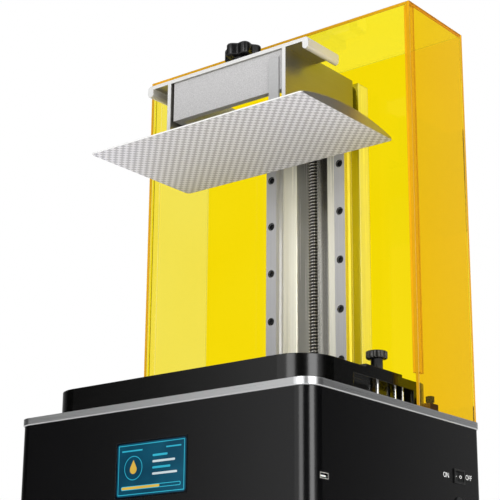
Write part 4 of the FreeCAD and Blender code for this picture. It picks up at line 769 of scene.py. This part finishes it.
# Turned steel glints in fine rings round the nut, about 0.1 mm apart; drawn at 0.5 mm to show.
bearing_steel, tree, spot = blank("turned_bearing_steel")
rings = add(tree, "TexNoise", {0: add(tree, "Mapping", {0: spot, 3: (1 / (20 * MM), 1 / (20 * MM), 1 / (0.5 * MM))}),
                               "Scale": 1})
tone = add(tree, "Mix", {0: rings, 6: "#77767a", 7: "#a3a2a4"}, data_type="RGBA")
sheen = add(tree, "MapRange", {0: rings, 1: 0.3, 2: 0.7, 3: 0.2, 4: 0.36})
add(tree, "OutputMaterial", {0: add(tree, "BsdfPrincipled", {
    "Base Color": tone, "Metallic": 1, "Roughness": sheen})})
dress(bearing_steel, "screw_nut")

# Wiper seals: thin plates of black moulded polymer on each end of a block, cut out round the rail.
wiper = [(-16.2, 95.6), (-15.2, 94.6), (15.2, 94.6), (16.2, 95.6), (16.2, 115.4), (15.2, 116.4), (8.1, 116.4),
         (8.1, 105.3), (-8.1, 105.3), (-8.1, 116.4), (-15.2, 116.4), (-16.2, 115.4)]
seal = 1.8
bm = bmesh.new()
for rail in (-51, 51):
    for low in (483.2, 545):
        plate(bm, wiper, at(rail, 0, 0), low, low + seal)
piece("carriage_wipers", bm, [spark_abs], "build_head")

# --- Arm block ------------------------------------------------------------------------------------
# The cantilever is a thick-walled aluminium casting, bead blasted all over and left clear. Blasting
# leaves a dense pale speckle, with no direction to it.
blasted_casting, tree, spot = blank("bead_blasted_aluminium_casting")
# Bead pits are about 0.3 mm; drawn at 1.1 mm to show.
pits = add(tree, "TexNoise", {0: spot, "Scale": 1 / (1.1 * MM), "Detail": 3, "Roughness": 0.7})
speckle = add(tree, "MapRange", {0: pits, 1: 0.38, 2: 0.62})
tone = add(tree, "Mix", {0: speckle, 6: "#c0bfbf", 7: "#dcdbdb"}, data_type="RGBA")
edge = add(tree, "Bevel", {"Radius": 0.6 * MM}, samples=4)
bump = add(tree, "Bump", {"Height": pits, "Strength": 0.25, "Distance": 0.1 * MM, "Normal": edge})
add(tree, "OutputMaterial", {0: add(tree, "BsdfPrincipled", {
    "Base Color": tone, "Metallic": 0.4, "Roughness": 0.55, "Normal": bump})})
dress(blasted_casting, "arm_block")

# --- Platform hanger and lock bar -----------------------------------------------------------------
# A wide extruded channel that carries the platform and slides over the arm, its two wings curled at
# their tips. The sawn ends are milled bright; a flat bar at the front stops it sliding off.
hanger_extrusion, tree, spot = blank("bright_dipped_extrusion")
# Die lines run front to back, about 0.2 mm apart; drawn at 1 mm to show.
lines = add(tree, "TexNoise", {0: add(tree, "Mapping", {0: spot, 3: (1 / (1.0 * MM), 1 / (150 * MM), 1 / (1.0 * MM))}),
                               "Scale": 1, "Detail": 2})
tone = add(tree, "Mix", {0: lines, 6: "#9b9992", 7: "#a4a29b"}, data_type="RGBA")
facing = add(tree, "SeparateXYZ", {0: add(tree, "TexCoord").outputs["Normal"]}).outputs[1]
sawn = add(tree, "Math", {0: facing, 1: -0.8}, operation="LESS_THAN")
# The curled tips, beyond 109 mm from the middle, are drawn paler and less metallic than the walls.
outward = add(tree, "Math", {0: add(tree, "SeparateXYZ", {0: spot}).outputs[0]}, operation="ABSOLUTE")
curl = add(tree, "Math", {0: outward, 1: 109 * MM}, operation="GREATER_THAN")
tone = add(tree, "Mix", {0: curl, 6: tone, 7: "#d6d4cc"}, data_type="RGBA")
tone = add(tree, "Mix", {0: sawn, 6: tone, 7: "#e6e6e4"}, data_type="RGBA")
curl = add(tree, "Math", {0: curl, 1: 0.7}, operation="MULTIPLY")
pale = add(tree, "Math", {0: sawn, 1: curl}, operation="MAXIMUM")
shine = add(tree, "MapRange", {0: pale, 3: 0.9, 4: 0.15})
sheen = add(tree, "MapRange", {0: lines, 1: 0.3, 2: 0.7, 3: 0.29, 4: 0.33})
edge = add(tree, "Bevel", {"Radius": 0.5 * MM}, samples=4)
add(tree, "OutputMaterial", {0: add(tree, "BsdfPrincipled", {
    "Base Color": tone, "Metallic": shine, "Roughness": sheen, "Normal": edge})})
dress(hanger_extrusion, "platform_hanger")

# The lock bar is cold-rolled steel strip, tumbled to a dull even grey.
tumbled_steel, tree, spot = blank("tumbled_steel_strip")
dull = add(tree, "TexNoise", {0: spot, "Scale": 1 / (2 * MM), "Detail": 3})
tone = add(tree, "Mix", {0: dull, 6: "#b4b4b4", 7: "#c6c6c6"}, data_type="RGBA")
edge = add(tree, "Bevel", {"Radius": 0.4 * MM}, samples=4)
add(tree, "OutputMaterial", {0: add(tree, "BsdfPrincipled", {
    "Base Color": tone, "Metallic": 0.2, "Roughness": 0.5, "Normal": edge})})
dress(tumbled_steel, "platform_lock_bar")

# --- Build platform -------------------------------------------------------------------------------
# A slab of aluminium, 13 mm thick at its crown and thin at its edges, bead blasted. Squares are laser
# etched over its under-side so that resin grips it; they are a matt grey, light and dark by turns.
etched, tree, spot = blank("laser_etched_aluminium")
# Each square is 5.35 mm. Blasting grit leaves pits of about 0.3 mm; drawn at 1.2 mm to show.
squares = add(tree, "TexChecker", {0: add(tree, "Mapping", {0: spot, 3: (1, 1, 0)}),
                                   1: "#d8d7dd", 2: "#acabb1", "Scale": 1 / (5.35 * MM)})
grit = add(tree, "TexNoise", {0: spot, "Scale": 1 / (1.2 * MM), "Detail": 3})
sides = add(tree, "Mix", {0: grit, 6: "#a9a7a0", 7: "#bab8b1"}, data_type="RGBA")
facing = add(tree, "SeparateXYZ", {0: add(tree, "TexCoord").outputs["Normal"]})
under = add(tree, "Math", {0: facing.outputs[2], 1: -0.7}, operation="LESS_THAN")
# Painted highlight: the front face is painted near white and matt, brighter than the ends of the same slab.
front = add(tree, "Math", {0: facing.outputs[1], 1: -0.7}, operation="LESS_THAN")
sides = add(tree, "Mix", {0: front, 6: sides, 7: "#f4f4f2"}, data_type="RGBA")
tone = add(tree, "Mix", {0: under, 6: sides, 7: squares}, data_type="RGBA")
matt = add(tree, "Math", {0: under, 1: front}, operation="MAXIMUM")
shine = add(tree, "MapRange", {0: matt, 3: 0.9, 4: 0.15})
sheen = add(tree, "MapRange", {0: under, 3: 0.34, 4: 0.6})
edge = add(tree, "Bevel", {"Radius": 0.8 * MM}, samples=4)
bump = add(tree, "Bump", {"Height": grit, "Strength": 0.2, "Distance": 0.1 * MM, "Normal": edge})
add(tree, "OutputMaterial", {0: add(tree, "BsdfPrincipled", {
    "Base Color": tone, "Metallic": shine, "Roughness": sheen, "Normal": bump})})
dress(etched, "build_platform")

# --- Clamping knob --------------------------------------------------------------------------------
# A six-lobed star knob of black phenolic, moulded in one with its stud; turned down, it clamps the
# hanger to the arm. The mould is polished, so the lobes carry long soft highlights.
phenolic, tree, spot = blank("polished_black_phenolic")
flow = add(tree, "TexNoise", {0: spot, "Scale": 1 / (8 * MM), "Detail": 3, "Distortion": 1})
tone = add(tree, "Mix", {0: flow, 6: "#0a0a0a", 7: "#151515"}, data_type="RGBA")
sheen = add(tree, "MapRange", {0: flow, 1: 0.3, 2: 0.7, 3: 0.2, 4: 0.3})
add(tree, "OutputMaterial", {0: add(tree, "BsdfPrincipled", {
    "Base Color": tone, "Roughness": sheen, "Specular IOR Level": 0.45})})

core, reach, slant, bluntness = 17.6, 4.9, radians(16.5), 0.8


def lobes(inset):
    """Radius by angle of the star, drawn in by an inset."""
    return lambda a: core + reach * (0.5 + 0.5 * cos(6 * (a - slant))) ** bluntness - inset


knob = [(0, 532), (4, 532), (4, 546.02), (10.4, 546.02), (11, 546.6), (11, 559.5), (12, 561), (14, 561)]
knob += [(lobes(i), z) for i, z in ((2.2, 561), (0.9, 561.5), (0.2, 562.4), (0, 563.6), (0, 573.6), (0.2, 574.9),
                                    (0.9, 576), (2.2, 576.5), (4.5, 576.7))]
knob += [(10.5, 577.1), (9.5, 578.1), (7, 578.5), (0, 578.5)]
bm = bmesh.new()
turned(bm, knob, at(0, -16, 0), around=144)
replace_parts(piece("platform_star_knob", bm, [phenolic], "clamp_knob"), "platform_knob")
